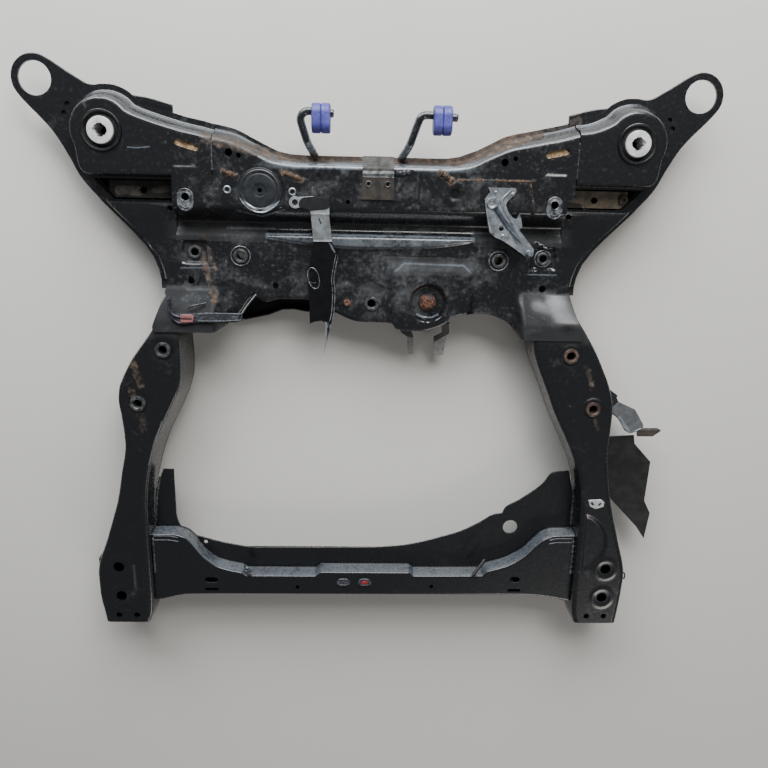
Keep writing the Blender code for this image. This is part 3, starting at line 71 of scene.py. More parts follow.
class Wire:
    # One output socket in a node tree; arithmetic on it adds Math nodes
    def __init__(self, tree, socket):
        self.tree = tree
        self.socket = socket

    def node(self, kind, settings=None, inputs=None, output=0):
        made = self.tree.nodes.new("ShaderNode" + kind)
        for key, value in (settings or {}).items():
            setattr(made, key, value)
        for key, value in (inputs or {}).items():
            if isinstance(value, Wire):
                self.tree.links.new(value.socket, made.inputs[key])
            else:
                made.inputs[key].default_value = value
        return Wire(self.tree, made.outputs[output])

    def maths(self, operation, first, second=0.0, third=0.0):
        return self.node("Math", {"operation": operation}, {0: first, 1: second, 2: third})

    def __add__(self, other):
        return self.maths("ADD", self, other)

    def __radd__(self, other):
        return self.maths("ADD", other, self)

    def __sub__(self, other):
        return self.maths("SUBTRACT", self, other)

    def __rsub__(self, other):
        return self.maths("SUBTRACT", other, self)

    def __mul__(self, other):
        return self.maths("MULTIPLY", self, other)

    def __rmul__(self, other):
        return self.maths("MULTIPLY", other, self)

    def __abs__(self):
        return self.maths("ABSOLUTE", self)

    def atMost(self, other):
        return self.maths("MINIMUM", self, other)

    def atLeast(self, other):
        return self.maths("MAXIMUM", self, other)

    # Smooth step from 0 at low to 1 at high; low may be the larger one
    def step(self, low, high):
        return self.node("MapRange", {"interpolation_type": "SMOOTHSTEP"},
                         {"Value": self, "From Min": low, "From Max": high})

    def noise(self, scale, detail=4.0, rough=0.55, twist=0.0):
        return self.node("TexNoise", None, {"Vector": self, "Scale": scale, "Detail": detail,
                                            "Roughness": rough, "Distortion": twist})

    def stretched(self, factors):
        return self.node("VectorMath", {"operation": "MULTIPLY"}, {0: self, 1: factors})

    def parts(self):
        return [self.node("SeparateXYZ", None, {0: self}, i) for i in range(3)]

    # This share of one colour over another
    def over(self, top, under):
        return self.node("Mix", {"data_type": "RGBA"}, {0: self, 6: colour(under), 7: colour(top)}, 2)

    def bump(self, depth, strength=1.0, under=None):
        inputs = {"Height": self, "Distance": depth, "Strength": strength}
        if under is not None:
            inputs["Normal"] = under
        return self.node("Bump", None, inputs)


# A colour socket's value: a wire as it is, or three parts and full opacity
def colour(value):
    return value if isinstance(value, Wire) else (*value, 1.0)


# New material with its shader and the wire that holds the place in the object, in metres
def newFinish(name):
    made = bpy.data.materials.new(name)
    made.use_nodes = True
    tree = made.node_tree
    shader = tree.nodes["Principled BSDF"]
    place = Wire(tree, tree.nodes.new("ShaderNodeTexCoord").outputs["Object"])
    return made, shader, place


# Set the shader's inputs by short names: a wire is linked, a plain value is stored
def connect(shader, **inputs):
    sockets = {"base": "Base Color", "rough": "Roughness", "metal": "Metallic", "normal": "Normal",
               "coat": "Coat Weight"}
    for name, value in inputs.items():
        socket = shader.inputs[sockets[name]]
        if isinstance(value, Wire):
            value.tree.links.new(value.socket, socket)
        else:
            socket.default_value = colour(value) if name == "base" else value


# How much a plan place belongs to a rounded stroke between two plan points:
# 1 within the reach of the line, fading to 0 over the blur on both sides of it
def stroke(plan, start, end, reach, blur):
    run = (end[0] - start[0], end[1] - start[1], 0.0)
    size = max(run[0] ** 2 + run[1] ** 2, 1e-9)
    perLength = (run[0] / size, run[1] / size, 0.0)
    offset = plan.node("VectorMath", {"operation": "SUBTRACT"}, {0: plan, 1: (*start, 0.0)})
    share = plan.node("VectorMath", {"operation": "DOT_PRODUCT"}, {0: offset, 1: perLength}, 1)
    share = plan.node("Clamp", None, {"Value": share})
    along = plan.node("VectorMath", {"operation": "SCALE"}, {0: run, 3: share})
    away = plan.node("VectorMath", {"operation": "DISTANCE"}, {0: offset, 1: along}, 1)
    return away.step(reach + blur, reach - blur)


# Chain a plan path into strokes of one reach and strength
def chain(points, reach, strength=1.0):
    return [(start, end, reach, strength) for start, end in zip(points, points[1:])]


# The largest of several shares
def anyOf(shares):
    total = shares[0]
    for share in shares[1:]:
        total = total.atLeast(share)
    return total


# Finishes

# Marks on the painted sheets, each a plan stroke: start, end, half width and strength
marks = {
    "rust": [((-0.25, 0.35), (-0.14, 0.326), 0.01, 0.65), ((-0.14, 0.326), (-0.02, 0.326), 0.007, 0.95),
             ((0.036, 0.324), (0.126, 0.324), 0.006, 0.8), ((0.126, 0.327), (0.255, 0.374), 0.011, 0.95),
             ((0.255, 0.374), (0.32, 0.392), 0.008, 0.5),
             ((-0.225, 0.3027), (-0.2, 0.2947), 0.004, 0.8),
             ((-0.134, 0.3034), (-0.107, 0.2925), 0.006, 0.75),
             ((0.104, 0.307), (0.122, 0.296), 0.007, 0.9), ((0.129, 0.298), (0.247, 0.299), 0.0036, 0.6),
             ((0.241, 0.293), (0.2515, 0.249), 0.004, 0.55), ((0.257, 0.29), (0.262, 0.24), 0.006, 0.35),
             ((-0.2655, 0.1755), (-0.2455, 0.1033), 0.007, 0.62),
             ((-0.262, 0.206), (-0.244, 0.15), 0.006, 0.5),
             ((-0.27, 0.25), (-0.232, 0.215), 0.008, 0.35),
             ((-0.38, 0.018), (-0.366, -0.03), 0.008, 0.6), ((-0.383, -0.03), (-0.366, -0.105), 0.008, 0.45),
             ((0.354, 0.012), (0.366, -0.02), 0.006, 0.55), ((0.377, -0.08), (0.385, -0.096), 0.005, 0.42),
             ((0.3, 0.1), (0.286, 0.084), 0.006, 0.35), ((0.1741, 0.1997), (0.1911, 0.1843), 0.003, 0.6),
             ((-0.42, 0.386), (-0.424, 0.404), 0.004, 0.4)],
    # bright strokes: painted highlight, mixed with bare-metal wear, along raised edges and rims of the
    # pressings
    "bright": chain([(0.0385, 0.156), (0.054, 0.169), (0.148, 0.1675), (0.161, 0.156)], 0.0014, 0.35)
              + chain([(0.076, 0.088), (0.086, 0.083), (0.101, 0.083), (0.111, 0.088)], 0.001, 0.9)
              + chain([(0.253, 0.155), (0.299, 0.155)], 0.001, 0.8)
              + chain([(-0.298, 0.155), (-0.248, 0.156)], 0.001, 0.5)
              + chain([(-0.3635, 0.3336), (-0.3492, 0.3329), (-0.3311, 0.3351)], 0.0007, 0.8)
              + chain([(-0.207, 0.246), (-0.169, 0.237), (-0.133, 0.248)], 0.0012, 0.9)
              + chain([(-0.152, 0.218), (-0.225, 0.218)], 0.0018, 0.45)
              + chain([(0.152, 0.218), (0.225, 0.218)], 0.0018, 0.6)
              + chain([(-0.336, -0.0917), (-0.3531, -0.1408), (-0.3618, -0.1677)], 0.0009, 0.5),
    # black strokes: dark seams and a black weld, and painted shade in the gaps under the arm flanges, a hole
    # and a slot
    "black": chain([(0.0738, 0.3044), (0.0714, 0.2684), (0.0511, 0.2571)], 0.0022, 0.9)
             + chain([(0.0348, 0.3053), (0.0588, 0.3076)], 0.005, 1.0)
             + chain([(0.16, 0.199), (0.166, 0.193)], 0.005, 0.9)
             + chain([(0.127, 0.2775), (0.127, 0.2785)], 0.0062, 1.3)
             + chain([(-0.1552, 0.177), (-0.0937, 0.1775), (-0.0473, 0.1677), (0.0217, 0.171)], 0.0006, 0.8)
             + chain([(0.0215, 0.1806), (0.0798, 0.1798), (0.1499, 0.1832)], 0.0006, 0.8)
             + chain([(-0.35, 0.4), (-0.298, 0.388)], 0.0017, 1.0)
             + chain([(0.242, 0.3745), (0.3, 0.3925), (0.348, 0.403)], 0.0016, 1.0)
             + chain([(0.261, 0.064), (0.277, 0.0605)], 0.0013, 1.0),
    # glossy places of the ramps, with a blur of their own before the strength
    "shine": [((0.3, 0.112), (0.318, 0.082), 0.018, 0.014, 1.0),
              ((0.27, 0.108), (0.3, 0.1), 0.01, 0.01, 0.7),
              ((-0.326, 0.112), (-0.345, 0.076), 0.003, 0.003, 1.0),
              ((-0.29, 0.122), (-0.252, 0.122), 0.002, 0.002, 0.6)],
}


# Satin black paint: dust and flecks on the level deck, a warmer film in front, a blue-grey painted highlight
# mixed with bare-metal wear where walls face the rear and along edges, then the marks above, some of them
# painted shade. The bead's edge lies where the plate's own formula puts the middle of its slope.
# Ramps, low walls, the deck's edge beside the bead and the bulge's rear slope are duller than the rest
def paintFinish(name):
    made, shader, place = newFinish(name)
    x, y, z = place.parts()
    plan = place.stretched((1.0, 1.0, 0.0))
    broad = place.noise(6.0, 3.0, 0.5)
    blotch = place.noise(27.0, 6.0, 0.66, 0.6)
    fine = place.noise(165.0, 5.0, 0.62)
    grain = place.noise(820.0, 3.0, 0.5)
    side = abs(x)
    deck = y.step(0.05, 0.095) * side.step(0.335, 0.285)
    valley = deck * y.step(0.2215, 0.229) * y.step(0.256, 0.248)
    arms = side.step(0.285, 0.335) * y.step(0.215, 0.27)
    front = y.step(-0.27, -0.295) * side.step(0.3715, 0.3655)
    zone = deck * 0.085 + arms * 0.01 - front * 0.01 - valley * 0.11
    dust = (blotch * 0.62 + fine * 0.22 + broad * 0.28 + zone).step(0.615, 0.88)
    dustColour = (front * 0.8).over((0.034, 0.031, 0.026), (0.066, 0.069, 0.073))
    base = dust.over(dustColour, (0.0056, 0.0062, 0.0076))
    flecks = (fine * 0.6 + grain * 0.5).step(0.64, 0.705) * (deck * 0.75 + arms * 0.3 + 0.1)
    base = (flecks * 0.5).over((0.17, 0.165, 0.155), base)
    length = (1.0 - x * x * (1.0 / bead["half"] ** 2)).atLeast(0.0)
    fromMiddle = abs(y - bead["y"] + length * bead["bow"]) - length * bead["width"]
    # Bead edge and crown, front ledge, rear wall and three lines along it: painted highlight on faces that
    # catch the light
    rim = abs(fromMiddle - 0.0025).step(0.0022, 0.0006) * length.step(0.0, 0.04) * z.step(0.05, 0.054)
    crown = fromMiddle.step(0.003, -0.0025) * length.step(0.0, 0.06)
    ledge = z.step(0.0535, 0.0555) * z.step(0.0774, 0.0764) * y.step(-0.402, -0.394) * front
    wall = z.step(0.052, 0.0545) * z.step(0.085, 0.0832) * y.step(0.306, 0.312)
    middle = side.step(0.175, 0.135)
    lines = anyOf([abs(z - 0.0532).step(0.002, 0.0006), abs(z - 0.0818).step(0.0012, 0.0004),
                   abs(z - 0.0493).step(0.001, 0.0005) * 0.7]) * y.step(0.305, 0.315)
    highlightAndWear = anyOf([rim, crown * 0.5, ledge * 0.45, wall * middle * 0.85, lines * 0.75]
                  + [stroke(plan, start, end, reach, 0.0007) * strength
                     for start, end, reach, strength in marks["bright"]])
    highlightAndWear = highlightAndWear * (fine * 1.1 + blotch * 0.9).step(0.55, 1.15)
    ramp = side.step(0.236, 0.252) * y.step(0.132, 0.118) * y.step(0.04, 0.06)
    shine = anyOf([stroke(plan, start, end, reach, blur) * strength
                   for start, end, reach, blur, strength in marks["shine"]])
    dull = (ramp - shine * (0.55 + blotch * 0.6)).atLeast(z.step(0.046, 0.043) * 0.75)
    beside = length.step(0.06, 0.0) * y.step(0.196, 0.2) * y.step(0.229, 0.224) * deck
    slope = x.step(0.024, 0.034) * x.step(0.176, 0.166) * y.step(0.15, 0.156) * y.step(0.181, 0.175)
    dull = dull.atLeast(beside.atLeast(slope) * (1.25 - blotch * 0.7))
    # Blue-grey colour of the painted highlight, mixed with bare-metal wear
    base = highlightAndWear.over((0.17, 0.195, 0.222), base)
    # Black strokes, partly dark seams and partly painted shade in gaps under the flanges, in a hole and in a
    # slot
    black = anyOf([stroke(plan, start, end, reach, 0.001 + reach * 0.3) * strength
                   for start, end, reach, strength in marks["black"]])
    black = (black + fine * 0.8 - 0.4).step(0.3, 0.6)
    base = black.over((0.0035, 0.0035, 0.004), base)
    area = anyOf([stroke(plan, start, end, reach, 0.0045) * strength
                  for start, end, reach, strength in marks["rust"]])
    speck = place.noise(60.0, 7.0, 0.72, 0.5)
    rust = (area * 0.75 + speck * 1.05 + fine * 0.5 - 0.8).step(0.22, 0.62) * area.step(0.02, 0.3)
    tone = (fine * 0.5 + place.noise(95.0, 5.0, 0.65) * 0.5).step(0.4, 0.62)
    rustColour = tone.over((0.098, 0.063, 0.042), (0.028, 0.018, 0.013))
    crust = place.noise(75.0, 5.0, 0.65).step(0.54, 0.66) * 0.55
    rustColour = crust.over((0.2, 0.155, 0.11), rustColour)
    base = rust.over(rustColour, base)
    rough = (fine * 0.16 + dust * 0.3 + rust * 0.42 + 0.19 + flecks * 0.1 + dull * 0.6).atMost(0.95)
    height = fine * 0.3 + grain * 0.12 + rust * fine * 1.2 + blotch * 0.5 + dust * 0.2
    connect(shader, base=base, rough=rough, normal=height.bump(0.001, 0.4), metal=highlightAndWear * 0.25,
            coat=(0.5 - dust * 0.45 - rust * 0.9 - flecks * 0.3 - dull * 0.6).atLeast(0.0))
    shader.inputs["Coat Roughness"].default_value = 0.13
    shader.inputs["Specular IOR Level"].default_value = 0.6
    return made


# Two tones mixed where 0.65 blotch + 0.35 fine noise passes a step, a stain at three quarters strength in
# places, a roughness that the fine noise moves about its middle, and fine bumps
def metalFinish(name, bright, dark, metal, rough, scale, scratch=0.0, stain=None):
    made, shader, place = newFinish(name)
    blotch = place.noise(scale, 6.0, 0.62, 0.3)
    fine = place.noise(scale * 7.0, 4.0, 0.55)
    worn = (blotch * 0.65 + fine * 0.35).step(0.4, 0.6)
    base = worn.over(bright, dark)
    if stain:
        share = (place.noise(scale * 1.7, 5.0, 0.6) * 0.7 + fine * 0.3).step(0.54, 0.66)
        base = (share * 0.75).over(stain, base)
    height = blotch * 0.6 + fine * 0.5
    if scratch:
        height = height + place.stretched((1.0, 0.12, 1.0)).noise(scale * 16.0, 2.0, 0.5) * scratch
    connect(shader, base=base, rough=rough + fine * 0.16 - 0.08, metal=metal,
            normal=height.bump(0.0006, 0.35))
    return made


# One colour and a lighter one mixed by half blotch and half fine noise, with shallow bumps
def plainFinish(name, base, rough, spread, scale=220.0, depth=0.0003):
    made, shader, place = newFinish(name)
    fine = place.noise(scale, 4.0, 0.55)
    blotch = place.noise(scale / 6.0, 5.0, 0.6)
    light = tuple(min(1.0, value * spread + 0.01) for value in base)
    connect(shader, base=(fine * 0.5 + blotch * 0.5).step(0.42, 0.62).over(light, base),
            rough=rough + fine * 0.12 - 0.06, normal=fine.bump(depth, 0.5))
    return made


# Dark and light rust mixed by noise, pale crust in places, and black paint where the noise stays below `paint`
def rustyFinish(name, dark, light, pale, paint):
    made, shader, place = newFinish(name)
    blotch = place.noise(70.0, 6.0, 0.65, 0.5)
    fine = place.noise(320.0, 5.0, 0.6)
    base = (blotch * 0.6 + fine * 0.4).step(0.4, 0.6).over(light, dark)
    base = (place.noise(150.0, 4.0, 0.6).step(0.55, 0.64) * 0.8).over(pale, base)
    bare = (place.noise(46.0, 5.0, 0.6, 0.4) * 0.75 + fine * 0.25).step(paint + 0.05, paint - 0.03)
    base = bare.over((0.012, 0.012, 0.013), base)
    connect(shader, base=base, rough=0.82 - bare * 0.4 + fine * 0.1, normal=(fine + blotch).bump(0.001, 0.6))
    return made


# A plain or metallic finish with plan zones of other tints over it: start, end, reach, tint, roughness, metal
def zonedFinish(name, under, rough, metal, zones, mottle=0.45, scale=150.0, blur=0.0012, ragged=0.9):
    made, shader, place = newFinish(name)
    plan = place.stretched((1.0, 1.0, 0.0))
    fine = place.noise(scale, 5.0, 0.62)
    blotch = place.noise(scale / 4.0, 6.0, 0.66, 0.4)
    tone = fine * 0.5 + blotch * 0.5
    uneven = tone.step(0.38, 0.64)
    base = uneven.over(under, tuple(value * (1.0 - mottle) for value in under))
    roughness = fine * 0.16 + (rough - 0.08)
    metallic = metal
    for start, end, reach, tint, ownRough, ownMetal in zones:
        share = (stroke(plan, start, end, reach, blur) + (tone - 0.5) * ragged).step(0.35, 0.65)
        base = share.over(uneven.over(tint, tuple(value * (1.0 - mottle) for value in tint)), base)
        roughness = roughness * (1.0 - share) + share * ownRough
        metallic = metallic * (1.0 - share) + share * ownMetal
    connect(shader, base=base, rough=roughness, metal=metallic, normal=(fine + blotch).bump(0.0005, 0.45))
    return made


finishes = {
    "black_paint": paintFinish("black_paint"),
    "worn_paint": metalFinish("worn_paint", (0.135, 0.142, 0.15), (0.02, 0.021, 0.023), 0.35, 0.38, 60.0, 0.0,
                              (0.075, 0.06, 0.045)),
    "rusty_steel": rustyFinish("rusty_steel", (0.026, 0.019, 0.014), (0.13, 0.098, 0.068),
                               (0.3, 0.25, 0.185), 0.49),
    "bolt_rust": rustyFinish("bolt_rust", (0.03, 0.013, 0.008), (0.17, 0.062, 0.03),
                             (0.28, 0.15, 0.09), 0.46),
    "aluminium": metalFinish("aluminium", (0.6, 0.63, 0.66), (0.25, 0.27, 0.3), 0.55, 0.36, 60.0, 0.0,
                             (0.16, 0.18, 0.21)),
    "zinc": metalFinish("zinc", (0.46, 0.49, 0.51), (0.2, 0.22, 0.24), 0.7, 0.34, 80.0, 0.4,
                        (0.11, 0.1, 0.09)),
    "rubber": plainFinish("rubber", (0.0045, 0.0045, 0.005), 0.5, 2.6),
    "violet_rubber": plainFinish("violet_rubber", (0.055, 0.055, 0.245), 0.46, 1.5, 260.0),
    "black_plastic": plainFinish("black_plastic", (0.0075, 0.0075, 0.0082), 0.44, 2.0),
    "red_plastic": plainFinish("red_plastic", (0.24, 0.012, 0.018), 0.42, 1.3),
    "shield_steel": plainFinish("shield_steel", (0.0045, 0.0045, 0.0055), 0.33, 2.2, 90.0),
}
weldRust = rustyFinish("weld_rust", (0.035, 0.019, 0.012), (0.13, 0.07, 0.038), (0.26, 0.19, 0.125), 0.46)
slotRust = rustyFinish("slot_rust", (0.16, 0.085, 0.04), (0.46, 0.32, 0.18), (0.64, 0.54, 0.38), 0.26)
gloss = plainFinish("bead_paint", (0.02, 0.022, 0.026), 0.26, 3.0, 300.0)
# Zinc strap with a black patch, a small dark mark, and two thin near-white lines that are painted highlights
# on its edges
strapFinish = zonedFinish("strap_zinc", (0.5, 0.53, 0.55), 0.36, 0.6, [
    ((-0.1, 0.257), (-0.072, 0.26), 0.0105, (0.014, 0.014, 0.016), 0.4, 0.0),
    ((-0.093, 0.244), (-0.065, 0.244), 0.0012, (0.7, 0.74, 0.76), 0.3, 0.5),
    ((-0.088, 0.202), (-0.06, 0.203), 0.0016, (0.8, 0.83, 0.85), 0.3, 0.4),
    ((-0.08, 0.236), (-0.077, 0.229), 0.001, (0.01, 0.01, 0.012), 0.5, 0.0)], ragged=0.4)
foldFinish = zonedFinish("fold_bracket", (0.085, 0.08, 0.074), 0.6, 0.2, [
    ((-0.013, 0.282), (0.033, 0.282), 0.017, (0.04, 0.029, 0.021), 0.75, 0.0),
    ((-0.0135, 0.3035), (0.033, 0.3035), 0.0045, (0.66, 0.69, 0.7), 0.32, 0.6),
    ((0.009, 0.293), (0.011, 0.269), 0.004, (0.018, 0.017, 0.017), 0.6, 0.0)], mottle=0.75, ragged=0.7)
pocketLeft = zonedFinish("pocket_left", (0.03, 0.029, 0.027), 0.6, 0.1, [
    ((-0.39, 0.271), (-0.36, 0.27), 0.007, (0.15, 0.14, 0.122), 0.7, 0.0),
    ((-0.336, 0.272), (-0.306, 0.276), 0.0045, (0.11, 0.095, 0.078), 0.7, 0.0)], mottle=0.75, ragged=1.6)
pocketRight = zonedFinish("pocket_right", (0.19, 0.155, 0.11), 0.72, 0.0, [
    ((0.306, 0.264), (0.33, 0.262), 0.005, (0.04, 0.032, 0.026), 0.6, 0.0)], mottle=0.5)
castFinish = zonedFinish("cast_bracket", (0.4, 0.43, 0.46), 0.34, 0.6, [
    ((0.19, 0.256), (0.212, 0.228), 0.004, (0.14, 0.16, 0.2), 0.3, 0.6),
    ((0.213, 0.232), (0.228, 0.208), 0.005, (0.2, 0.22, 0.26), 0.32, 0.6),
    ((0.232, 0.2), (0.246, 0.196), 0.005, (0.24, 0.26, 0.29), 0.36, 0.5)], mottle=0.55)
clipFinish = zonedFinish("rail_clip", (0.62, 0.64, 0.63), 0.4, 0.3, [
    ((0.3865, -0.229), (0.389, -0.232), 0.0018, (0.012, 0.012, 0.012), 0.5, 0.0),
    ((0.3995, -0.233), (0.4015, -0.23), 0.0016, (0.012, 0.012, 0.012), 0.5, 0.0)], ragged=0.5)
finFinish = zonedFinish("shield_blade", (0.005, 0.005, 0.0062), 0.32, 0.2, [
    ((-0.07, 0.072), (-0.072, 0.023), 0.003, (0.34, 0.35, 0.36), 0.36, 0.5),
    ((-0.0655, 0.062), (-0.07, 0.026), 0.0008, (0.012, 0.012, 0.014), 0.4, 0.0),
    ((-0.064, 0.199), (-0.056, 0.185), 0.0012, (0.22, 0.24, 0.26), 0.3, 0.4)], ragged=0.4)
# Plain darker black for the crossmember's lower shell: painted shade for its inside, seen through holes and
# open mouths
innerShadeFinish = plainFinish("inner_painted_shade", (0.004, 0.004, 0.0045), 0.55, 2.2, 90.0)
wingFinish = plainFinish("wing_black", (0.003, 0.003, 0.0034), 0.5, 1.2, 60.0)
# Pale sleeve faces; the black patch round each bore is painted shade of the deep bore and its flats
sleeveFinish = zonedFinish("sleeve_face", (0.78, 0.78, 0.76), 0.44, 0.2, [
    ((side * 0.4005, 0.353), (side * 0.4005, 0.36), 0.006, (0.0035, 0.0035, 0.004), 0.6, 0.0)
    for side in (-1, 1)], mottle=0.35, blur=0.0005, ragged=0.12)
clipPair = zonedFinish("clip_steel", (0.34, 0.345, 0.335), 0.42, 0.3, [
    ((0.053, 0.053), (0.072, 0.05), 0.0075, (0.01, 0.01, 0.011), 0.4, 0.0),
    ((0.11, 0.044), (0.1285, 0.056), 0.0078, (0.01, 0.01, 0.011), 0.4, 0.0),
    ((0.1285, 0.06), (0.1275, 0.09), 0.009, (0.01, 0.01, 0.011), 0.4, 0.0)], mottle=0.5, ragged=0.3)
print("finishes made")


# Shape helpers

# Smooth step: 3 t squared - 2 t cubed, with t held between 0 and 1
def ease(value):
    t = np.clip(value, 0.0, 1.0)
    return t * t * (3.0 - 2.0 * t)


# Monotone cubic through points along the first axis, each stretch cut into parts about `step` long.
# The tangent is the harmonic mean of the slopes on both sides, so flats stay flat and nothing overshoots
def smoothAlong(points, step, closed=False, least=1):
    points = np.asarray(points, float)
    if closed:
        points = np.concatenate([points[-1:], points, points[:2]])
    gaps = np.linalg.norm(np.diff(points, axis=0), axis=-1).reshape(len(points) - 1, -1).mean(axis=1)
    gaps = np.maximum(gaps, 1e-7).reshape(-1, *[1] * (points.ndim - 1))
    slope = np.diff(points, axis=0) / gaps
    before, after = slope[:-1], slope[1:]
    same = before * after > 0
    inner = np.where(same, 2 * before * after / np.where(same, before + after, 1.0), 0.0)
    tangent = np.concatenate([slope[:1], inner, slope[-1:]])
    rows = []
    first, last = (1, len(points) - 2) if closed else (0, len(points) - 1)
    for i in range(first, last):
        span = float(gaps[i].reshape(-1)[0])
        count = max(least, int(round(span / step)))
        t = (np.arange(count) / count).reshape(-1, *[1] * (points.ndim - 1))
        rows.append(points[i] * (1 + 2 * t) * (1 - t) ** 2 + tangent[i] * span * t * (1 - t) ** 2
                    + points[i + 1] * t * t * (3 - 2 * t) + tangent[i + 1] * span * t * t * (t - 1))
    if not closed:
        rows.append(points[-1:])
    return np.concatenate(rows)


# Read a smooth curve through (position, value) pairs
def curveAt(pairs, at):
    dense = smoothAlong(sorted(pairs), 0.002, least=4)
    return np.interp(at, dense[:, 0], dense[:, 1])


# Read the straight stretches between (position, value) pairs
def straightAt(pairs, at):
    keys, values = zip(*sorted(pairs))
    return np.interp(at, keys, values)


# Shift a plan path to its right-hand side, mitred at each corner
def offsetPath(points, distance, closed=False):
    path = np.asarray(points, float)
    if closed:
        before, after = np.roll(path, 1, axis=0), np.roll(path, -1, axis=0)
    else:
        before = np.vstack([2 * path[0] - path[1], path[:-1]])
        after = np.vstack([path[1:], 2 * path[-1] - path[-2]])
    first, second = path - before, after - path
    first /= np.linalg.norm(first, axis=1)[:, None]
    second /= np.linalg.norm(second, axis=1)[:, None]
    tangent = first + second
    tangent /= np.linalg.norm(tangent, axis=1)[:, None]
    stretch = 1.0 / np.maximum(np.sum(tangent * first, axis=1), 0.6)
    normal = np.stack([tangent[:, 1], -tangent[:, 0]], axis=1)
    return path + normal * (stretch * np.asarray(distance))[:, None]


# Points on a circle from one angle to another, in degrees
def arcPoints(centre, radius, start, end, steps):
    angles = np.radians(np.linspace(start, end, steps + 1))
    return [(centre[0] + radius * math.cos(a), centre[1] + radius * math.sin(a)) for a in angles]


# Plan points with a height beside them
def atHeight(path, height):
    path = np.asarray(path, float)
    return np.column_stack([path, np.broadcast_to(height, len(path))])


# Mesh from points and faces
def newMesh(name, points, faces):
    mesh = bpy.data.meshes.new(name)
    mesh.from_pydata(np.asarray(points, float).reshape(-1, 3).tolist(), [], faces)
    return mesh


# Quads of a grid of rows by columns; the columns close on themselves when wrapped
def gridFaces(rows, columns, wrapped=False):
    across = columns if wrapped else columns - 1
    i, j = np.meshgrid(np.arange(rows - 1), np.arange(across), indexing="ij")
    k = (j + 1) % columns
    faces = np.stack([i * columns + j, i * columns + k, (i + 1) * columns + k, (i + 1) * columns + j],
                     axis=-1)
    return faces.reshape(-1, 4).tolist()


# Object of a mesh, put in the scene
def linked(name, mesh):
    piece = bpy.data.objects.new(name, mesh)
    bpy.context.scene.collection.objects.link(piece)
    return piece


# Turn every face of closed shells outward
def outward(piece):
    bm = bmesh.new()
    bm.from_mesh(piece.data)
    bmesh.ops.recalc_face_normals(bm, faces=bm.faces[:])
    bm.to_mesh(piece.data)
    bm.free()
    return piece


# Several closed shells in one piece
def together(name, pieces):
    bm = bmesh.new()
    for piece in pieces:
        bm.from_mesh(piece.data)
        bpy.data.objects.remove(piece, do_unlink=True)
    mesh = bpy.data.meshes.new(name)
    bm.to_mesh(mesh)
    bm.free()
    return linked(name, mesh)


# Evaluate the modifiers into the mesh and drop them
def baked(piece, helpers=()):
    bpy.context.view_layer.update()
    graph = bpy.context.evaluated_depsgraph_get()
    mesh = bpy.data.meshes.new_from_object(piece.evaluated_get(graph))
    piece.modifiers.clear()
    piece.data = mesh
    for helper in helpers:
        bpy.data.objects.remove(helper, do_unlink=True)
    return piece


# Put a finished piece in the object: its finish, its body and the CAD node that it stands for
def settle(piece, node=None, finish=None, slotName=None, angle=38.0):
    slotName = slotName or slotOf[node]
    piece.data.materials.clear()
    piece.data.materials.append(finish or finishes[slotName])
    piece.data.shade_smooth()
    piece.data.set_sharp_from_angle(angle=math.radians(angle))
    shading = piece.modifiers.new("shading", "WEIGHTED_NORMAL")
    shading.keep_sharp = True
    baked(piece)
    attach(piece, "root")
    if node:
        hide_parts(node)
    return piece


# Upright cylinders in one mesh, each from x, y and diameter
def holeCutter(name, holes, low, high):
    bm = bmesh.new()
    for x, y, diameter in holes:
        bmesh.ops.create_cone(bm, cap_ends=True, segments=64, radius1=diameter / 2, radius2=diameter / 2,
                              depth=high - low, matrix=Matrix.Translation((x, y, (low + high) / 2)))
    mesh = bpy.data.meshes.new(name)
    bm.to_mesh(mesh)
    bm.free()
    return linked(name, mesh)


# Outline of two half circles of the width, joined by straight sides
def stadium(x, y, length, width, steps=12):
    reach = (length - width) / 2
    return (arcPoints((x + reach, y), width / 2, -90, 90, steps)
            + arcPoints((x - reach, y), width / 2, 90, 270, steps))


# Closed block between two heights over an outline
def prism(name, outline, low, high):
    count = len(outline)
    points = np.vstack([atHeight(outline, low), atHeight(outline, high)])
    faces = gridFaces(2, count, True) + [list(range(count))[::-1], list(range(count, 2 * count))]
    return linked(name, newMesh(name, points, faces))


# Outline of a slot: a stadium turned by its angle in degrees
def slotOutline(x, y, length, width, angle):
    turn = math.radians(angle)
    outline = np.array(stadium(0, 0, length, width))
    return outline @ np.array([[math.cos(turn), math.sin(turn)], [-math.sin(turn), math.cos(turn)]]) + (x, y)


# One block for each slot, given as place, length, width and angle
def slotCutters(name, cuts, low, high):
    return [prism("%s_%d" % (name, index), slotOutline(*cut), low, high) for index, cut in enumerate(cuts)]


# Give an open surface its wall, cut its holes and bake the lot
def walled(name, mesh, gauge, holes=(), cuts=(), low=-0.05, high=0.15, extra=()):
    piece = linked(name, mesh)
    wall = piece.modifiers.new("wall", "SOLIDIFY")
    wall.thickness = gauge
    wall.offset = -1.0
    wall.use_quality_normals = True
    helpers = list(extra)
    if holes:
        helpers.append(holeCutter(name + "_holes", holes, low, high))
    helpers += slotCutters(name + "_cut", cuts, low, high)
    for helper in helpers:
        cut = piece.modifiers.new("cut", "BOOLEAN")
        cut.operation = "DIFFERENCE"
        cut.solver = "MANIFOLD"
        cut.object = helper
    return baked(piece, helpers)


# A sheet through a grid of points, rows along X and points toward -Y, with its wall below
def sheetFrom(name, grid, gauge, **cuts):
    rows, columns, _ = grid.shape
    return walled(name, newMesh(name, grid, gridFaces(rows, columns)), gauge, **cuts)


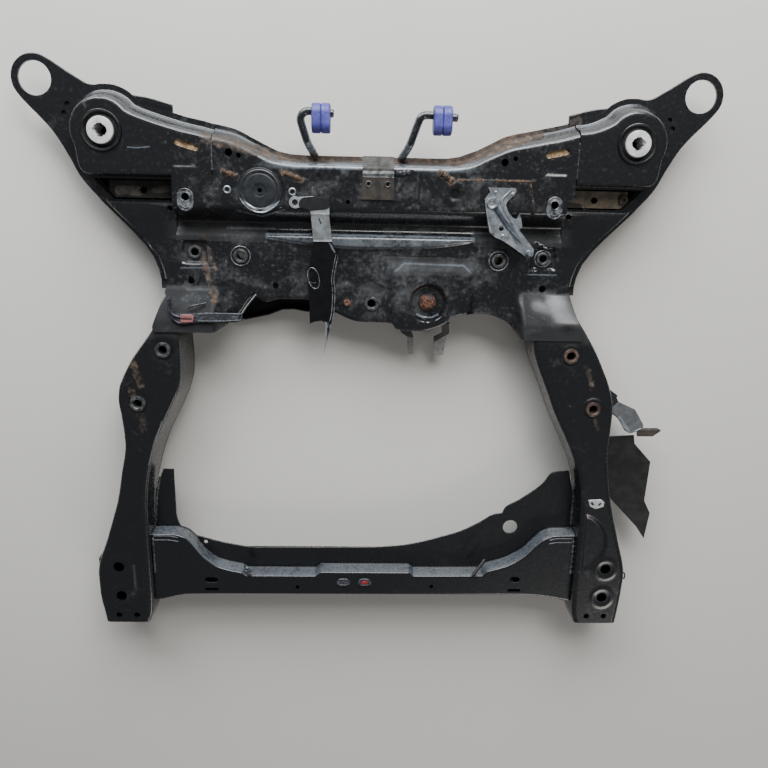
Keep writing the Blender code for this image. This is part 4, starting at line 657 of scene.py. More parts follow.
# A pressing from closed loops and a filled cap, trimmed by planes before it gets its wall
def pressing(name, loops, gauge, planes=(), flip=False, **cuts):
    loops = np.asarray(loops)
    rings, count, _ = loops.shape
    faces = gridFaces(rings, count, True) + [list(range((rings - 1) * count, rings * count))]
    mesh = newMesh(name, loops, faces)
    bm = bmesh.new()
    bm.from_mesh(mesh)
    for point, normal in planes:
        bmesh.ops.bisect_plane(bm, geom=bm.verts[:] + bm.edges[:] + bm.faces[:], dist=1e-6, plane_co=point,
                               plane_no=normal, clear_outer=True)
    if flip:
        bmesh.ops.reverse_faces(bm, faces=bm.faces[:])
    bmesh.ops.triangulate(bm, faces=[face for face in bm.faces if len(face.verts) > 4])
    bm.to_mesh(mesh)
    bm.free()
    return walled(name, mesh, gauge, **cuts)


# A closed solid through stacked loops, from the bottom up when they run anticlockwise
def solidFrom(name, loops):
    loops = np.asarray(loops, float)
    rings, count, _ = loops.shape
    faces = gridFaces(rings, count, True)
    faces += [list(range(count))[::-1], list(range((rings - 1) * count, rings * count))]
    return linked(name, newMesh(name, loops, faces))


# A flat plate with rounded edges: its outline drawn in by the edge radius at both faces
def plateFrom(name, outline, top, gauge, edge, holes=(), extra=()):
    outline = np.asarray(outline, float)
    loops = []
    for turn in np.radians((90.0, 67.5, 45.0, 22.5, 0.0)):
        inset = edge * (1 - math.cos(turn))
        loops.append(atHeight(offsetPath(outline, -inset, True), top - gauge + edge * (1 - math.sin(turn))))
    for turn in np.radians((0.0, 22.5, 45.0, 67.5, 90.0)):
        inset = edge * (1 - math.cos(turn))
        loops.append(atHeight(offsetPath(outline, -inset, True), top - edge * (1 - math.sin(turn))))
    piece = solidFrom(name, loops)
    helpers = list(extra)
    if holes:
        helpers.append(holeCutter(name + "_holes", holes, top - 0.1, top + 0.1))
    for helper in helpers:
        cut = piece.modifiers.new("cut", "BOOLEAN")
        cut.operation = "DIFFERENCE"
        cut.solver = "MANIFOLD"
        cut.object = helper
    return baked(piece, helpers)


# A turned piece from (radius, height) pairs: down the outside and, when hollow, up the inside
def lathe(name, profile, at, steps=96):
    profile = np.asarray(profile, float)
    hollow = profile[0, 0] > 0 and profile[-1, 0] > 0
    angles = np.linspace(0, 2 * np.pi, steps, endpoint=False)
    ring = np.stack([np.cos(angles), np.sin(angles)], axis=1)
    rings = profile[::-1]
    if not hollow:
        rings = rings[rings[:, 0] > 0]
    points = np.concatenate([np.column_stack([ring * radius, np.full(steps, height)])
                             for radius, height in rings])
    faces = gridFaces(len(rings), steps, True)
    if hollow:
        last = (len(rings) - 1) * steps
        faces += [[last + j, last + (j + 1) % steps, (j + 1) % steps, j] for j in range(steps)]
    else:
        faces += [list(range(steps))[::-1], list(range((len(rings) - 1) * steps, len(rings) * steps))]
    return linked(name, newMesh(name, points + np.asarray(at, float), faces))


# A tube along a path: rings square to the path, turned as little as possible from one to the next
def tube(name, path, radius, sides=24, squash=1.0):
    path = np.asarray(path, float)
    radius = np.broadcast_to(radius, len(path))
    tangent = np.gradient(path, axis=0)
    tangent /= np.linalg.norm(tangent, axis=1)[:, None]
    side = np.cross(tangent[0], (0.0, 0.0, 1.0) if abs(tangent[0][2]) < 0.9 else (1.0, 0.0, 0.0))
    loops = []
    angles = np.linspace(0, 2 * np.pi, sides, endpoint=False)
    for point, forward, reach in zip(path, tangent, radius):
        side = side - forward * np.dot(side, forward)
        side /= np.linalg.norm(side)
        up = np.cross(side, forward)
        loops.append(point + reach * (np.outer(np.cos(angles), side) + squash * np.outer(np.sin(angles), up)))
    return outward(solidFrom(name, loops))


# A closed hoop: circles square to a closed plan path, (path + r cos a outward, height + r sin a)
def hoop(name, path, height, radius, sides=12):
    path = np.asarray(path, float)
    away = offsetPath(path, 1.0, True) - path
    away /= np.linalg.norm(away, axis=1)[:, None]
    angles = np.linspace(0, 2 * np.pi, sides, endpoint=False)
    plan = path[:, None] + radius * np.cos(angles)[None, :, None] * away[:, None]
    heights = np.asarray(height, float).reshape(-1, 1) + radius * np.sin(angles)
    points = np.concatenate([plan, np.broadcast_to(heights, plan.shape[:2])[..., None]], axis=2)
    i, j = np.meshgrid(np.arange(len(path)), np.arange(sides), indexing="ij")
    nextI, nextJ = (i + 1) % len(path), (j + 1) % sides
    faces = np.stack([i * sides + j, nextI * sides + j, nextI * sides + nextJ, i * sides + nextJ], axis=-1)
    return outward(linked(name, newMesh(name, points, faces.reshape(-1, 4).tolist())))


# A lumpy weld bead: a tube whose radius is r (1 + 0.22 sin(s / p) + 0.14 sin(2.7 s / p)) along its length s
def beadAlong(name, corners, radius, pitch=0.0016, squash=0.7):
    path = smoothAlong(corners, 0.0007)
    length = np.concatenate([[0.0], np.cumsum(np.linalg.norm(np.diff(path, axis=0), axis=1))])
    reach = radius * (1 + 0.22 * np.sin(length / pitch) + 0.14 * np.sin(2.7 * length / pitch + 1.0))
    taper = np.minimum(1.0, np.minimum(length, length[-1] - length) / radius + 0.25)
    return tube(name, path, reach * taper, 14, squash)


# A low dome, and a flat ring, on a plan point
def dome(name, at, radius, rise):
    turns = np.radians(np.linspace(84, 0, 10))
    profile = [(radius * math.cos(a), rise * math.sin(a)) for a in turns] + [(radius, -0.0008)]
    return lathe(name, profile, at, 48)


def ringAt(name, centre, radius, height, thick, steps=48):
    return hoop(name, arcPoints(centre, radius, 0, 360 * (1 - 1 / steps), steps - 1), height, thick)


# Round each inner corner of a 3-D path with an arc
def bendPath(corners, radius, steps=10):
    path = [Vector(corners[0])]
    for before, corner, after in zip(corners, corners[1:], corners[2:]):
        corner = Vector(corner)
        back = (Vector(before) - corner).normalized()
        ahead = (Vector(after) - corner).normalized()
        half = back.angle(ahead) / 2
        reach = radius / math.tan(half)
        centre = corner + (back + ahead).normalized() * (radius / math.sin(half))
        start = (corner + back * reach - centre).normalized()
        end = (corner + ahead * reach - centre).normalized()
        path += [centre + radius * start.slerp(end, i / steps) for i in range(steps + 1)]
    path.append(Vector(corners[-1]))
    return np.array(path)


# The skin of a CAD node as it is: merged, with fine rounded edges
def refined(node, edge=0.0006, finish=None, name=None):
    mesh = frame["nodes"][node].data.copy()
    bm = bmesh.new()
    bm.from_mesh(mesh)
    bmesh.ops.remove_doubles(bm, verts=bm.verts[:], dist=2e-6)
    bmesh.ops.dissolve_limit(bm, angle_limit=math.radians(0.4), verts=bm.verts[:], edges=bm.edges[:])
    bm.to_mesh(mesh)
    bm.free()
    piece = linked(name or node + "_skin", mesh)
    bevel = piece.modifiers.new("edges", "BEVEL")
    bevel.width = edge
    bevel.segments = 2
    bevel.limit_method = "ANGLE"
    bevel.angle_limit = math.radians(40)
    bevel.harden_normals = False
    return settle(piece, node, finish)


# Rear crossmember

crossmember = {
    "side": ((0.06, 0.343), (0.1, 0.329), (0.145, 0.318), (0.175, 0.312), (0.205, 0.303), (0.32, 0.3)),
    "rear": ((-0.3, 0.312), (-0.272, 0.312), (-0.256, 0.302), (-0.245, 0.297), (-0.118, 0.297),
             (-0.11, 0.308), (0.116, 0.308), (0.124, 0.297), (0.245, 0.297), (0.256, 0.302),
             (0.272, 0.312), (0.3, 0.312)),
    "front": ((-0.3, 0.06), (-0.24, 0.06), (-0.212, 0.08), (-0.184, 0.111), (-0.165, 0.103),
              (-0.144, 0.108), (-0.099, 0.108), (-0.057, 0.088), (-0.015, 0.073), (0.036, 0.072),
              (0.044, 0.064), (0.082, 0.061), (0.122, 0.073), (0.132, 0.083), (0.156, 0.089),
              (0.188, 0.089), (0.222, 0.078), (0.25, 0.056), (0.3, 0.056)),
    "walled": ((-0.3, 0), (-0.075, 0), (-0.05, 1), (0.118, 1), (0.14, 0), (0.3, 0)),
    "seam": 0.0275,
    "bolt": (0.0935, 0.1075),
    "collars": ((-0.204, 0.1755), (0.204, 0.1755), (0.003, 0.104)),
    "squares": ((-0.276, 0.18), (0.276, 0.18)),
    "keys": ((-0.281, 0.264), (0.281, 0.264)),
    "cover": (-0.169, 0.276),
    "dome": (0.127, 0.278),
    "bulge": (0.026, 0.172, 0.174, 0.01),
    "dish": (0.0315, 0.011),
    "recess": (0.02, 0.019, 0.006),
    "small": ((-0.284, 0.136, 0.012), (0.278, 0.132, 0.011), (-0.15, 0.13, 0.01), (0.127, 0.278, 0.014),
              (-0.08, 0.3, 0.006), (-0.036, 0.262, 0.006), (-0.037, 0.104, 0.007)),
}


# 0 over the deck and 1 over the rails, across the 16 mm of the ramp
def rampShare(x):
    return ease((np.abs(x) - 0.232) / 0.016)


# A raised ring of a given radius, width and height round a plan point
def ringRise(x, y, centre, radius, width, height):
    return height * ease(1.0 - np.abs(np.hypot(x - centre[0], y - centre[1]) - radius) / width)


# Trough, boat-shaped bead, bulge, dish, square recesses and the ramps over the rails, then the small drawn
# marks: each adds its rise times one smooth step for each of its sides
def plateTop(x, y):
    beam = beamZ + stack
    height = beam + (valleyZ - beam) * ease((0.253 - y) / 0.028)
    height = height + (deckZ - valleyZ) * ease((0.219 - y) / 0.014)
    length = np.clip(1.0 - (x / bead["half"]) ** 2, 0.0, 1.0)
    inBead = bead["least"] + bead["width"] * length - np.abs(y - bead["y"] + bead["bow"] * length)
    height = height + bead["rise"] * length ** 0.5 * ease((inBead + 0.004) / 0.006)
    left, right, rear, rise = crossmember["bulge"]
    height = height + rise * ease((x - left) / 0.016) * ease((right - x) / 0.018) * ease((rear - y) / 0.018)
    radius, depth = crossmember["dish"]
    fromBolt = np.hypot(x - crossmember["bolt"][0], y - crossmember["bolt"][1])
    height = height - depth * ease((radius - fromBolt) / 0.0075)
    halfX, halfY, depth = crossmember["recess"]
    for centreX, centreY in crossmember["squares"]:
        inX = halfX - np.abs(x - centreX)
        inY = halfY - np.abs(y - centreY)
        height = height - depth * ease(inX / 0.004) * ease(inY / 0.004)
    climb = (railZ + stack + gap - deckZ) * ease((0.13 - y) / 0.058)
    height = height + rampShare(x) * climb
    for centre in crossmember["collars"][:2]:
        height = height + ringRise(x, y, centre, 0.0165, 0.005, 0.001)
    height = height + ringRise(x, y, crossmember["cover"], 0.0375, 0.0035, 0.0014)
    height = height + ringRise(x, y, crossmember["dome"], 0.014, 0.009, 0.0016)
    for centreX, centreY in crossmember["keys"]:
        inX = 0.0265 - np.abs(x - centreX * 0.972)
        inY = 0.033 - np.abs(y - 0.277)
        height = height + 0.0014 * ease(inX / 0.0035) * ease(inY / 0.0035)
    wave = 0.0005 * np.sin(x * 61.0 + y * 23.0) * np.sin(y * 71.0 - x * 17.0)
    return height + wave


# Main plate: columns from rear to front edge, each at plateTop, then the front lip turned down. Toward
# the side ends the columns move to the side curve
def makePlate():
    shape = crossmember
    columns = np.linspace(-0.3, 0.3, 311)
    rear = curveAt(shape["rear"], columns)
    front = curveAt(shape["front"], columns)
    walledShare = straightAt(shape["walled"], columns)
    edge = front + 0.006
    share = np.linspace(0.0, 1.0, 134)[:, None]
    y = rear + (edge - rear) * share
    spread = ease((np.abs(columns) - 0.285) / 0.015)
    x = columns + np.sign(columns) * (curveAt(shape["side"], y) - 0.3) * spread
    body = np.stack([x, y, plateTop(x, y)], axis=-1)
    edgeX, edgeY, edgeZ = body[-1].T
    turn = 1.0 - rampShare(edgeX)
    wallTop = edgeZ - 0.004 * turn
    wallFoot = wallTop - 0.001 * turn + (shape["seam"] - wallTop + 0.001) * walledShare
    lip = np.stack([body[-1],
                    np.stack([edgeX, edgeY - 0.005, edgeZ - 0.0015 * turn], axis=1),
                    np.stack([edgeX, edgeY - 0.007 + 0.001 * turn, wallTop], axis=1),
                    np.stack([edgeX, edgeY - 0.009 + 0.003 * turn, wallFoot], axis=1)])
    grid = np.concatenate([body[:-1], smoothAlong(lip, 0.003, least=3)]).transpose(1, 0, 2)
    holes = [(x, y, 0.016) for x, y in shape["keys"]] + [(x, y, 0.016) for x, y in shape["squares"]]
    holes += [(x, y, 0.0236) for x, y in shape["collars"]]
    holes += [(*shape["bolt"], 0.016), (*shape["cover"], 0.0676), *shape["small"]]
    plate = sheetFrom("crossmember_plate", grid, sheet, holes=holes)
    settle(plate, "crossmember_upper")


ridge = ((0.0, 0.312), (0.11, 0.312), (0.126, 0.313), (0.148, 0.316), (0.183, 0.331), (0.212, 0.343),
         (0.241, 0.349), (0.26, 0.353), (0.285, 0.358), (0.3, 0.362), (0.328, 0.37), (0.363, 0.383))
rearWall = ((0.0, 0.0095), (0.12, 0.0095), (0.2, 0.015), (0.4, 0.015))
seams = {"left": -0.24, "right": 0.313, "half": 0.0007}
# Long slots in the tops of the arms: place, length, width and angle
armSlots = {"left": (-0.277, 0.339, 0.036, 0.01, -16), "right": (0.281, 0.34, 0.036, 0.01, 12)}


# Rear panel: seven lines from the bottom flange up the wall to the beam's top, smoothed into a sheet
def makeRearPanel():
    x = np.linspace(seams["left"] + seams["half"], seams["right"] - seams["half"], 230)
    top = curveAt(ridge, np.abs(x))
    foot = top + straightAt(rearWall, np.abs(x))
    rim = np.full_like(x, rimZ + stack)
    flat = np.full_like(x, beamZ)
    lines = [(foot + 0.008, rim), (foot + 0.0015, rim), (foot - 0.001, rim + 0.003),
             (top + 0.004, flat - 0.005), (top + 0.001, flat - 0.001), (top - 0.003, flat),
             (np.full_like(x, 0.272), flat)]
    rows = smoothAlong([np.stack([x, y, z], axis=1) for y, z in lines], 0.0022, least=3)
    holes = [(-0.215, 0.33, 0.011), (-0.2, 0.326, 0.007), (0.201, 0.325, 0.011), (0.217, 0.331, 0.007),
             (*crossmember["cover"], 0.0676)]
    panel = sheetFrom("rear_panel_skin", rows.transpose(1, 0, 2), sheet, holes=holes,
                      cuts=[armSlots["right"]])
    settle(panel, "rear_panel")


makePlate()
makeRearPanel()
print("rear crossmember made")


# Arms

arm = {
    "rear": ((0.142, 0.329), (0.178, 0.344), (0.22, 0.365), (0.25, 0.379), (0.3, 0.397), (0.341, 0.4075),
             (0.375, 0.412), (0.412, 0.423), (0.424, 0.424), (0.448, 0.436)),
    "front": ((0.485, 0.355), (0.465, 0.321), (0.45, 0.291), (0.421, 0.256), (0.391, 0.225), (0.363, 0.197),
              (0.344, 0.169), (0.335, 0.143), (0.335, 0.12)),
    "window": ((0.283, 0.156), (0.3195, 0.156), (0.33, 0.179), (0.351, 0.208), (0.379, 0.236),
               (0.409, 0.267), (0.433, 0.293), (0.447, 0.318), (0.454, 0.342), (0.45, 0.37),
               (0.435, 0.39), (0.41, 0.402), (0.37, 0.392), (0.34, 0.386), (0.3, 0.374),
               (0.283, 0.374)),
    "root": 0.303,
    "eye": (0.505, 0.43),
    "eyeBore": 0.049,
    "ring": 0.0105,
    "plate": 0.004,
    "bush": (0.4005, 0.3565),
    "boss": 0.045,
    "beamFront": 0.2955,
    "small": ((0.46, 0.395), (0.466, 0.382)),
}


# Points as they are for side 1, or with x turned over and the order reversed
def mirrored(points, side):
    points = np.asarray(points, float)
    if side > 0:
        return points
    return (points * np.array([-1.0] + [1.0] * (points.shape[1] - 1)))[::-1]


# Arm pressing: its plan is beam front, boss arc and ridge. Its wall and flange end 9.5 and 15 mm outside it,
# further where the outline faces the rear and nearer where it faces the front
def makeArmUpper(side, word):
    seam = seams["right"] if side > 0 else -seams["left"]
    bossArc = arcPoints(arm["bush"], arm["boss"], -28, 122, 12)
    back = [(x, y) for x, y in ridge if seam < x < 0.37]
    root = [(seam - 0.03, straightAt(ridge, seam))]
    y = arm["beamFront"]
    front = [(seam - 0.03, y), (0.385, y), (0.425, y), (0.434, y + 0.005), (0.4375, y + 0.016)]
    top = smoothAlong(front + bossArc + back[::-1] + root, 0.0035, closed=True)
    normals = offsetPath(top, 1.0, closed=True) - top
    normals /= np.linalg.norm(normals, axis=1)[:, None]
    wall = 0.0095 + 0.0055 * normals[:, 1]
    flange = wall + 0.0055 + 0.0025 * normals[:, 1]
    rim = rimZ + stack
    loops = [atHeight(offsetPath(top, flange, True), rim), atHeight(offsetPath(top, wall, True), rim),
             atHeight(offsetPath(top, 0.25 * wall, True), beamZ - 0.005),
             atHeight(top, beamZ - 0.0005), atHeight(offsetPath(top, -0.004, True), beamZ),
             atHeight(offsetPath(top, -0.0055, True), beamZ)]
    loops = smoothAlong(loops, 0.0022, least=3)
    loops = [mirrored(loop, side) for loop in loops]
    at = (seams["right"] if side > 0 else seams["left"]) + side * seams["half"]
    cuts = [armSlots["left"]] if side < 0 else []
    upper = pressing("arm_upper_skin_" + word, loops, sheet, [((at, 0, 0), (-side, 0, 0))],
                     holes=[(side * arm["bush"][0], arm["bush"][1], 0.0606)], cuts=cuts)
    settle(upper, "arm_upper_" + word)


# Eye plate: front and rear curve round the eye's ring, with its window, its eye and two small holes
def makeArmPlate(side, word):
    ring = arcPoints(arm["eye"], arm["eyeBore"] / 2 + arm["ring"], -36, 118, 16)
    outline = [(arm["root"], 0.12)] + list(arm["front"][::-1]) + ring
    outline += [point for point in arm["rear"][::-1] if point[0] > arm["root"] + 0.001]
    rootY = straightAt(arm["rear"], arm["root"])
    middle = smoothAlong(outline[1:] + [(arm["root"], rootY)], 0.0035, least=2)
    outline = np.vstack([[(arm["root"], rootY), (arm["root"], 0.12)], middle[:-1]])
    keep = np.linalg.norm(outline - np.roll(outline, 1, axis=0), axis=1) > 2e-4
    window = mirrored(smoothAlong(arm["window"], 0.004, closed=True), side)
    opening = prism("arm_window_" + word, window, -0.05, 0.15)
    holes = [(side * arm["eye"][0], arm["eye"][1], arm["eyeBore"])]
    holes += [(side * x, y, 0.008) for x, y in arm["small"]]
    plate = plateFrom("arm_plate_skin_" + word, mirrored(outline[keep], side), rimZ, arm["plate"], 0.0014,
                      holes=holes, extra=[opening])
    settle(plate, "arm_plate_" + word)


for side, word in ((-1, "left"), (1, "right")):
    makeArmUpper(side, word)
    makeArmPlate(side, word)
print("arms made")


# Rails

rail = {
    "left": ((0.104, 0.327, 0.301, 0.293), (0.085, 0.333, 0.301, 0.292), (0.06, 0.343, 0.301, 0.291),
             (0.035, 0.361, 0.3, 0.29), (0.01, 0.379, 0.3, 0.289), (-0.015, 0.393, 0.301, 0.29),
             (-0.04, 0.403, 0.306, 0.296), (-0.06, 0.405, 0.315, 0.304), (-0.085, 0.402, 0.327, 0.316),
             (-0.13, 0.3995, 0.348, 0.338), (-0.19, 0.41, 0.363, 0.357), (-0.23, 0.418, 0.3685, 0.366),
             (-0.26, 0.427, 0.37, 0.369), (-0.3, 0.44, 0.37, 0.37), (-0.375, 0.462, 0.37, 0.37),
             (-0.405, 0.462, 0.37, 0.37), (-0.445, 0.457, 0.372, 0.372), (-0.465, 0.454, 0.378, 0.378)),
    "right": ((0.104, 0.328, 0.262, 0.26), (0.085, 0.337, 0.262, 0.26), (0.06, 0.353, 0.263, 0.26),
              (0.035, 0.369, 0.266, 0.263), (0.01, 0.382, 0.274, 0.271), (-0.015, 0.394, 0.285, 0.282),
              (-0.04, 0.403, 0.296, 0.293), (-0.06, 0.407, 0.304, 0.301), (-0.085, 0.408, 0.316, 0.312),
              (-0.13, 0.407, 0.339, 0.335), (-0.19, 0.414, 0.362, 0.36), (-0.23, 0.422, 0.368, 0.367),
              (-0.26, 0.43, 0.37, 0.37), (-0.3, 0.442, 0.37, 0.37), (-0.375, 0.46, 0.37, 0.37),
              (-0.405, 0.459, 0.37, 0.37), (-0.445, 0.456, 0.372, 0.372), (-0.465, 0.454, 0.378, 0.378)),
    "nuts": ((0.3275, 0.0275), (0.3725, -0.062)),
    "bolts": ((0.4245, -0.357), (0.4235, -0.413)),
    "ends": ((0.4305, -0.451), (0.3995, -0.451)),
    "skirt": 0.042,
    "draft": 0.004,
}


# Height of the rail: from the deck up to railZ over 58 mm
def railTop(y):
    start = deckZ - stack - 0.001
    return start + (railZ - start) * ease((0.125 - y) / 0.058)


# Drawn marks on the rails: a raised foot panel, the pear-shaped ring and shallow seats round the nuts
def railMarks(x, y, side):
    rise = np.zeros_like(x)
    for nutX, nutY in rail["nuts"]:
        rise = rise - 0.0016 * ease((0.0215 - np.hypot(np.abs(x) - nutX, y - nutY)) / 0.006)
    for boltX, boltY in rail["bolts"]:
        rise = rise + ringRise(np.abs(x), y, (boltX, boltY), 0.0175, 0.006, 0.001)
    if side > 0:
        panel = ease((0.056 - np.hypot(x - 0.364, y + 0.308) * 0.95) / 0.006)
        rise = rise - 0.0028 * panel
        pear = np.minimum(np.hypot(x - 0.333, y + 0.019) - 0.019, np.hypot(x - 0.333, y + 0.043) - 0.012)
        rise = rise + 0.001 * ease(1.0 - np.abs(pear) / 0.003)
    else:
        box = np.maximum(np.abs(x + 0.384) - 0.019, np.abs(y + 0.377) - 0.029)
        rise = rise - 0.003 * ease(-box / 0.008)
    return rise


# Rail pressing: eight lines along the table, from the outer skirt over the top to the inner foot. The two
# walls are smoothed, and the top between them carries the drawn marks
def makeRail(side, word):
    table = smoothAlong(rail[word], 0.0034)
    y = table[:, 0]
    outer, inner, foot = (np.column_stack([table[:, i], y]) for i in (1, 2, 3))
    top = railTop(y)
    skirt = np.full_like(y, rail["skirt"])
    lines = [(offsetPath(outer, -rail["draft"]), skirt), (outer, top - 0.008),
             (offsetPath(outer, 0.002), top - 0.002),
             (offsetPath(outer, 0.008), top), (offsetPath(inner, -0.008), top),
             (offsetPath(inner, -0.002), top - 0.002),
             (inner, top - 0.008), (foot, skirt)]
    grid = np.stack([np.column_stack([path, height]) for path, height in lines])
    grid[:, 0, 1] = rail[word][0][0]
    grid[:, -1, 1] = rail[word][-1][0]
    wallOut = smoothAlong(grid[:4], 0.003, least=3)[:-1]
    across = np.linspace(0.0, 1.0, 48)[:, None, None]
    flat = grid[3] + (grid[4] - grid[3]) * across
    wallIn = smoothAlong(grid[4:], 0.003, least=3)[1:]
    inside = ease(np.minimum(across, 1 - across)[..., 0] * 8)
    flat[..., 2] += railMarks(side * flat[..., 0], flat[..., 1], side) * inside
    grid = np.concatenate([wallOut, flat, wallIn]).transpose(1, 0, 2)
    if side < 0:
        grid = (grid * np.array([-1.0, 1.0, 1.0]))[:, ::-1]
    holes = [(side * x, y, bore) for key, bore in (("nuts", 0.0256), ("bolts", 0.018), ("ends", 0.01))
             for x, y in rail[key]]
    upper = sheetFrom("rail_upper_skin_" + word, grid, sheet, holes=holes)
    settle(upper, "rail_upper_" + word)


for side, word in ((-1, "left"), (1, "right")):
    makeRail(side, word)
print("rails made")


# Front crossmember

plateau = {
    "top": ((-0.375, -0.43), (-0.346, -0.424), (-0.314, -0.4175), (-0.228, -0.4165), (0.229, -0.4165),
            (0.298, -0.4175), (0.346, -0.424), (0.375, -0.43), (0.375, -0.3), (0.335, -0.301),
            (0.318, -0.307), (0.304, -0.319), (0.287, -0.338), (0.27, -0.351), (0.254, -0.36),
            (0.234, -0.367), (0.218, -0.372), (0.209, -0.38), (0.086, -0.381), (0.078, -0.3745),
            (-0.077, -0.3745), (-0.088, -0.382), (-0.208, -0.382), (-0.218, -0.376), (-0.236, -0.372),
            (-0.258, -0.365), (-0.272, -0.356), (-0.287, -0.342), (-0.302, -0.321), (-0.315, -0.308),
            (-0.333, -0.303), (-0.375, -0.303)),
    "slots": [(-0.27, -0.39, 0.023, 0.011, 0), (0.268, -0.387, 0.018, 0.012, 0),
              (-0.27, -0.408, 0.024, 0.0055, 0), (0.268, -0.408, 0.024, 0.0055, 0),
              (-0.038, -0.392, 0.021, 0.012, 0), (0.0, -0.392, 0.021, 0.012, 0)],
    "wall": 0.005,
    "end": 0.3694,
}
shelf = {
    "rear": ((0.356, -0.188), (0.328, -0.191), (0.31, -0.214), (0.273, -0.243), (0.247, -0.26),
             (0.243, -0.27), (0.23, -0.272), (0.204, -0.288), (0.17, -0.306), (0.141, -0.316),
             (0.091, -0.33), (0.063, -0.335), (0.002, -0.339), (-0.193, -0.34), (-0.246, -0.332),
             (-0.286, -0.321), (-0.308, -0.314), (-0.321, -0.305), (-0.329, -0.292), (-0.332, -0.275),
             (-0.332, -0.192), (-0.35, -0.192)),
    "front": ((-0.369, -0.446), (-0.346, -0.44), (-0.314, -0.433), (0.314, -0.433), (0.346, -0.44),
              (0.369, -0.446)),
}


# Side edge of the shelf, 1 mm inside the foot of the rail's inner wall
def shelfSide(side):
    edge = [(side * (footX - 0.001), y) for y, _, _, footX in rail["right" if side > 0 else "left"]
            if -0.42 < y < -0.195]
    return edge[::-1] if side > 0 else edge


# Plateau: its wall runs out by 5 mm, with a flange of 8 mm more toward the front
def makePlateau():
    top = smoothAlong(plateau["top"], 0.004, closed=True)
    normals = offsetPath(top, 1.0, closed=True) - top
    normals /= np.linalg.norm(normals, axis=1)[:, None]
    flange = plateau["wall"] + 0.008 * ease(-normals[:, 1] * 2.0 - 0.4)
    seat = shelfZ + stack
    loops = [atHeight(offsetPath(top, flange + 0.0004, True), seat),
             atHeight(offsetPath(top, plateau["wall"], True), seat),
             atHeight(offsetPath(top, 0.3 * plateau["wall"], True), plateauZ - 0.004),
             atHeight(top, plateauZ - 0.0005), atHeight(offsetPath(top, -0.003, True), plateauZ),
             atHeight(offsetPath(top, -0.0042, True), plateauZ)]
    loops = smoothAlong(loops, 0.0022, least=3)
    end = plateau["end"]
    planes = [((end, 0, 0), (1, 0, 0)), ((-end, 0, 0), (-1, 0, 0))]
    holes = [(-0.119, -0.403, 0.007), (0.119, -0.401, 0.007)]
    upper = pressing("plateau_skin", loops, sheet, planes, holes=holes, cuts=plateau["slots"])
    settle(upper, "front_crossmember_upper")


# Shelf: front edge, right rail, rear edge and left rail in one flat outline
def makeShelf():
    rear = smoothAlong(shelf["rear"], 0.006, least=2)
    outline = np.vstack([shelf["front"], shelfSide(1), rear, shelfSide(-1)])
    keep = np.linalg.norm(outline - np.roll(outline, 1, axis=0), axis=1) > 2e-4
    holes = [(0.259, -0.297, 0.026), (-0.283, -0.33, 0.007)]
    settle(plateFrom("shelf_skin", outline[keep], shelfZ, sheet, 0.0009, holes=holes), "front_shelf")


makePlateau()
makeShelf()
print("front crossmember made")


# Bushings and weld nuts

# Bushing: radii and heights, the rubber's groove as radius and depth below its top and its foot as radius and
# rise, the notches of the sleeve's mouth (count, first turn, reach, width, depth) and its flats
bushing = {
    "outer": 0.03,
    "inner": 0.0275,
    "sleeve": 0.0195,
    "bore": 0.0085,
    "low": 0.006,
    "top": 0.087,
    "high": 0.09,
    "groove": ((0.0198, 0.0008), (0.0208, 0.0014), (0.022, 0.0042), (0.0235, 0.0052), (0.025, 0.0042),
               (0.0262, 0.0016), (0.0272, 0.0008)),
    "foot": ((0.0272, 0.004), (0.0235, 0.007), (0.0198, 0.004)),
    "notches": (12, 0.3, 0.0088, 0.003, 0.03),
    "flats": (0.0215, 0.013, 0.004),
    "shade": 0.032,
}


# Bushing: housing, rubber and sleeve are turned; notches stand round the sleeve's bore, except near one line
def makeBushing(side, word):
    at = (side * arm["bush"][0], arm["bush"][1], 0.0)
    outer, inner, sleeve, bore = (bushing[key] for key in ("outer", "inner", "sleeve", "bore"))
    low, top, high = (bushing[key] for key in ("low", "top", "high"))
    housing = lathe("housing_skin_" + word,
                    [(outer - 0.001, top), (outer - 0.0003, top - 0.0003), (outer, top - 0.001), (outer, low),
                     (inner, low), (inner, top - 0.0006), (inner + 0.0006, top)], at)
    settle(housing, "bushing_housing_" + word)
    profile = [(reach, top - depth) for reach, depth in bushing["groove"]]
    profile += [(reach, low + rise) for reach, rise in bushing["foot"]]
    settle(lathe("rubber_skin_" + word, profile, at), "bushing_rubber_" + word)
    face = lathe("sleeve_skin_" + word,
                 [(sleeve - 0.0012, high), (sleeve - 0.0004, high - 0.0004), (sleeve, high - 0.0012),
                  (sleeve, low), (bore, low), (bore, high - 0.0012), (bore + 0.0008, high)], at, 128)
    count, first, reach, width, deep = bushing["notches"]
    notches = []
    for k in range(count):
        angle = 2 * math.pi * k / count + first
        if abs(math.sin(angle - 0.5)) > 0.35:
            notches.append((at[0] + reach * math.cos(angle), at[1] + reach * math.sin(angle), width))
    mouth = holeCutter("mouth_" + word, notches, high - deep, high + 0.01)
    length, width, deep = bushing["flats"]
    flats = prism("flats_" + word, stadium(at[0], at[1], length, width), high - deep, high + 0.01)
    for helper in (mouth, flats):
        cut = face.modifiers.new("cut", "BOOLEAN")
        cut.operation = "DIFFERENCE"
        cut.solver = "EXACT"
        cut.object = helper
    baked(face, (mouth, flats))
    settle(face, "bushing_sleeve_" + word, sleeveFinish)
    inside, ceiling = bore - 0.0003, high - bushing["shade"]
    shade = [(inside - 0.0006, ceiling), (inside, ceiling - 0.0006), (inside, low + 0.001),
             (inside - 0.0008, low + 0.001)]
    liner = lathe("bore_shade_" + word, shade, at, 64)
    settle(liner, None, None, "rubber")


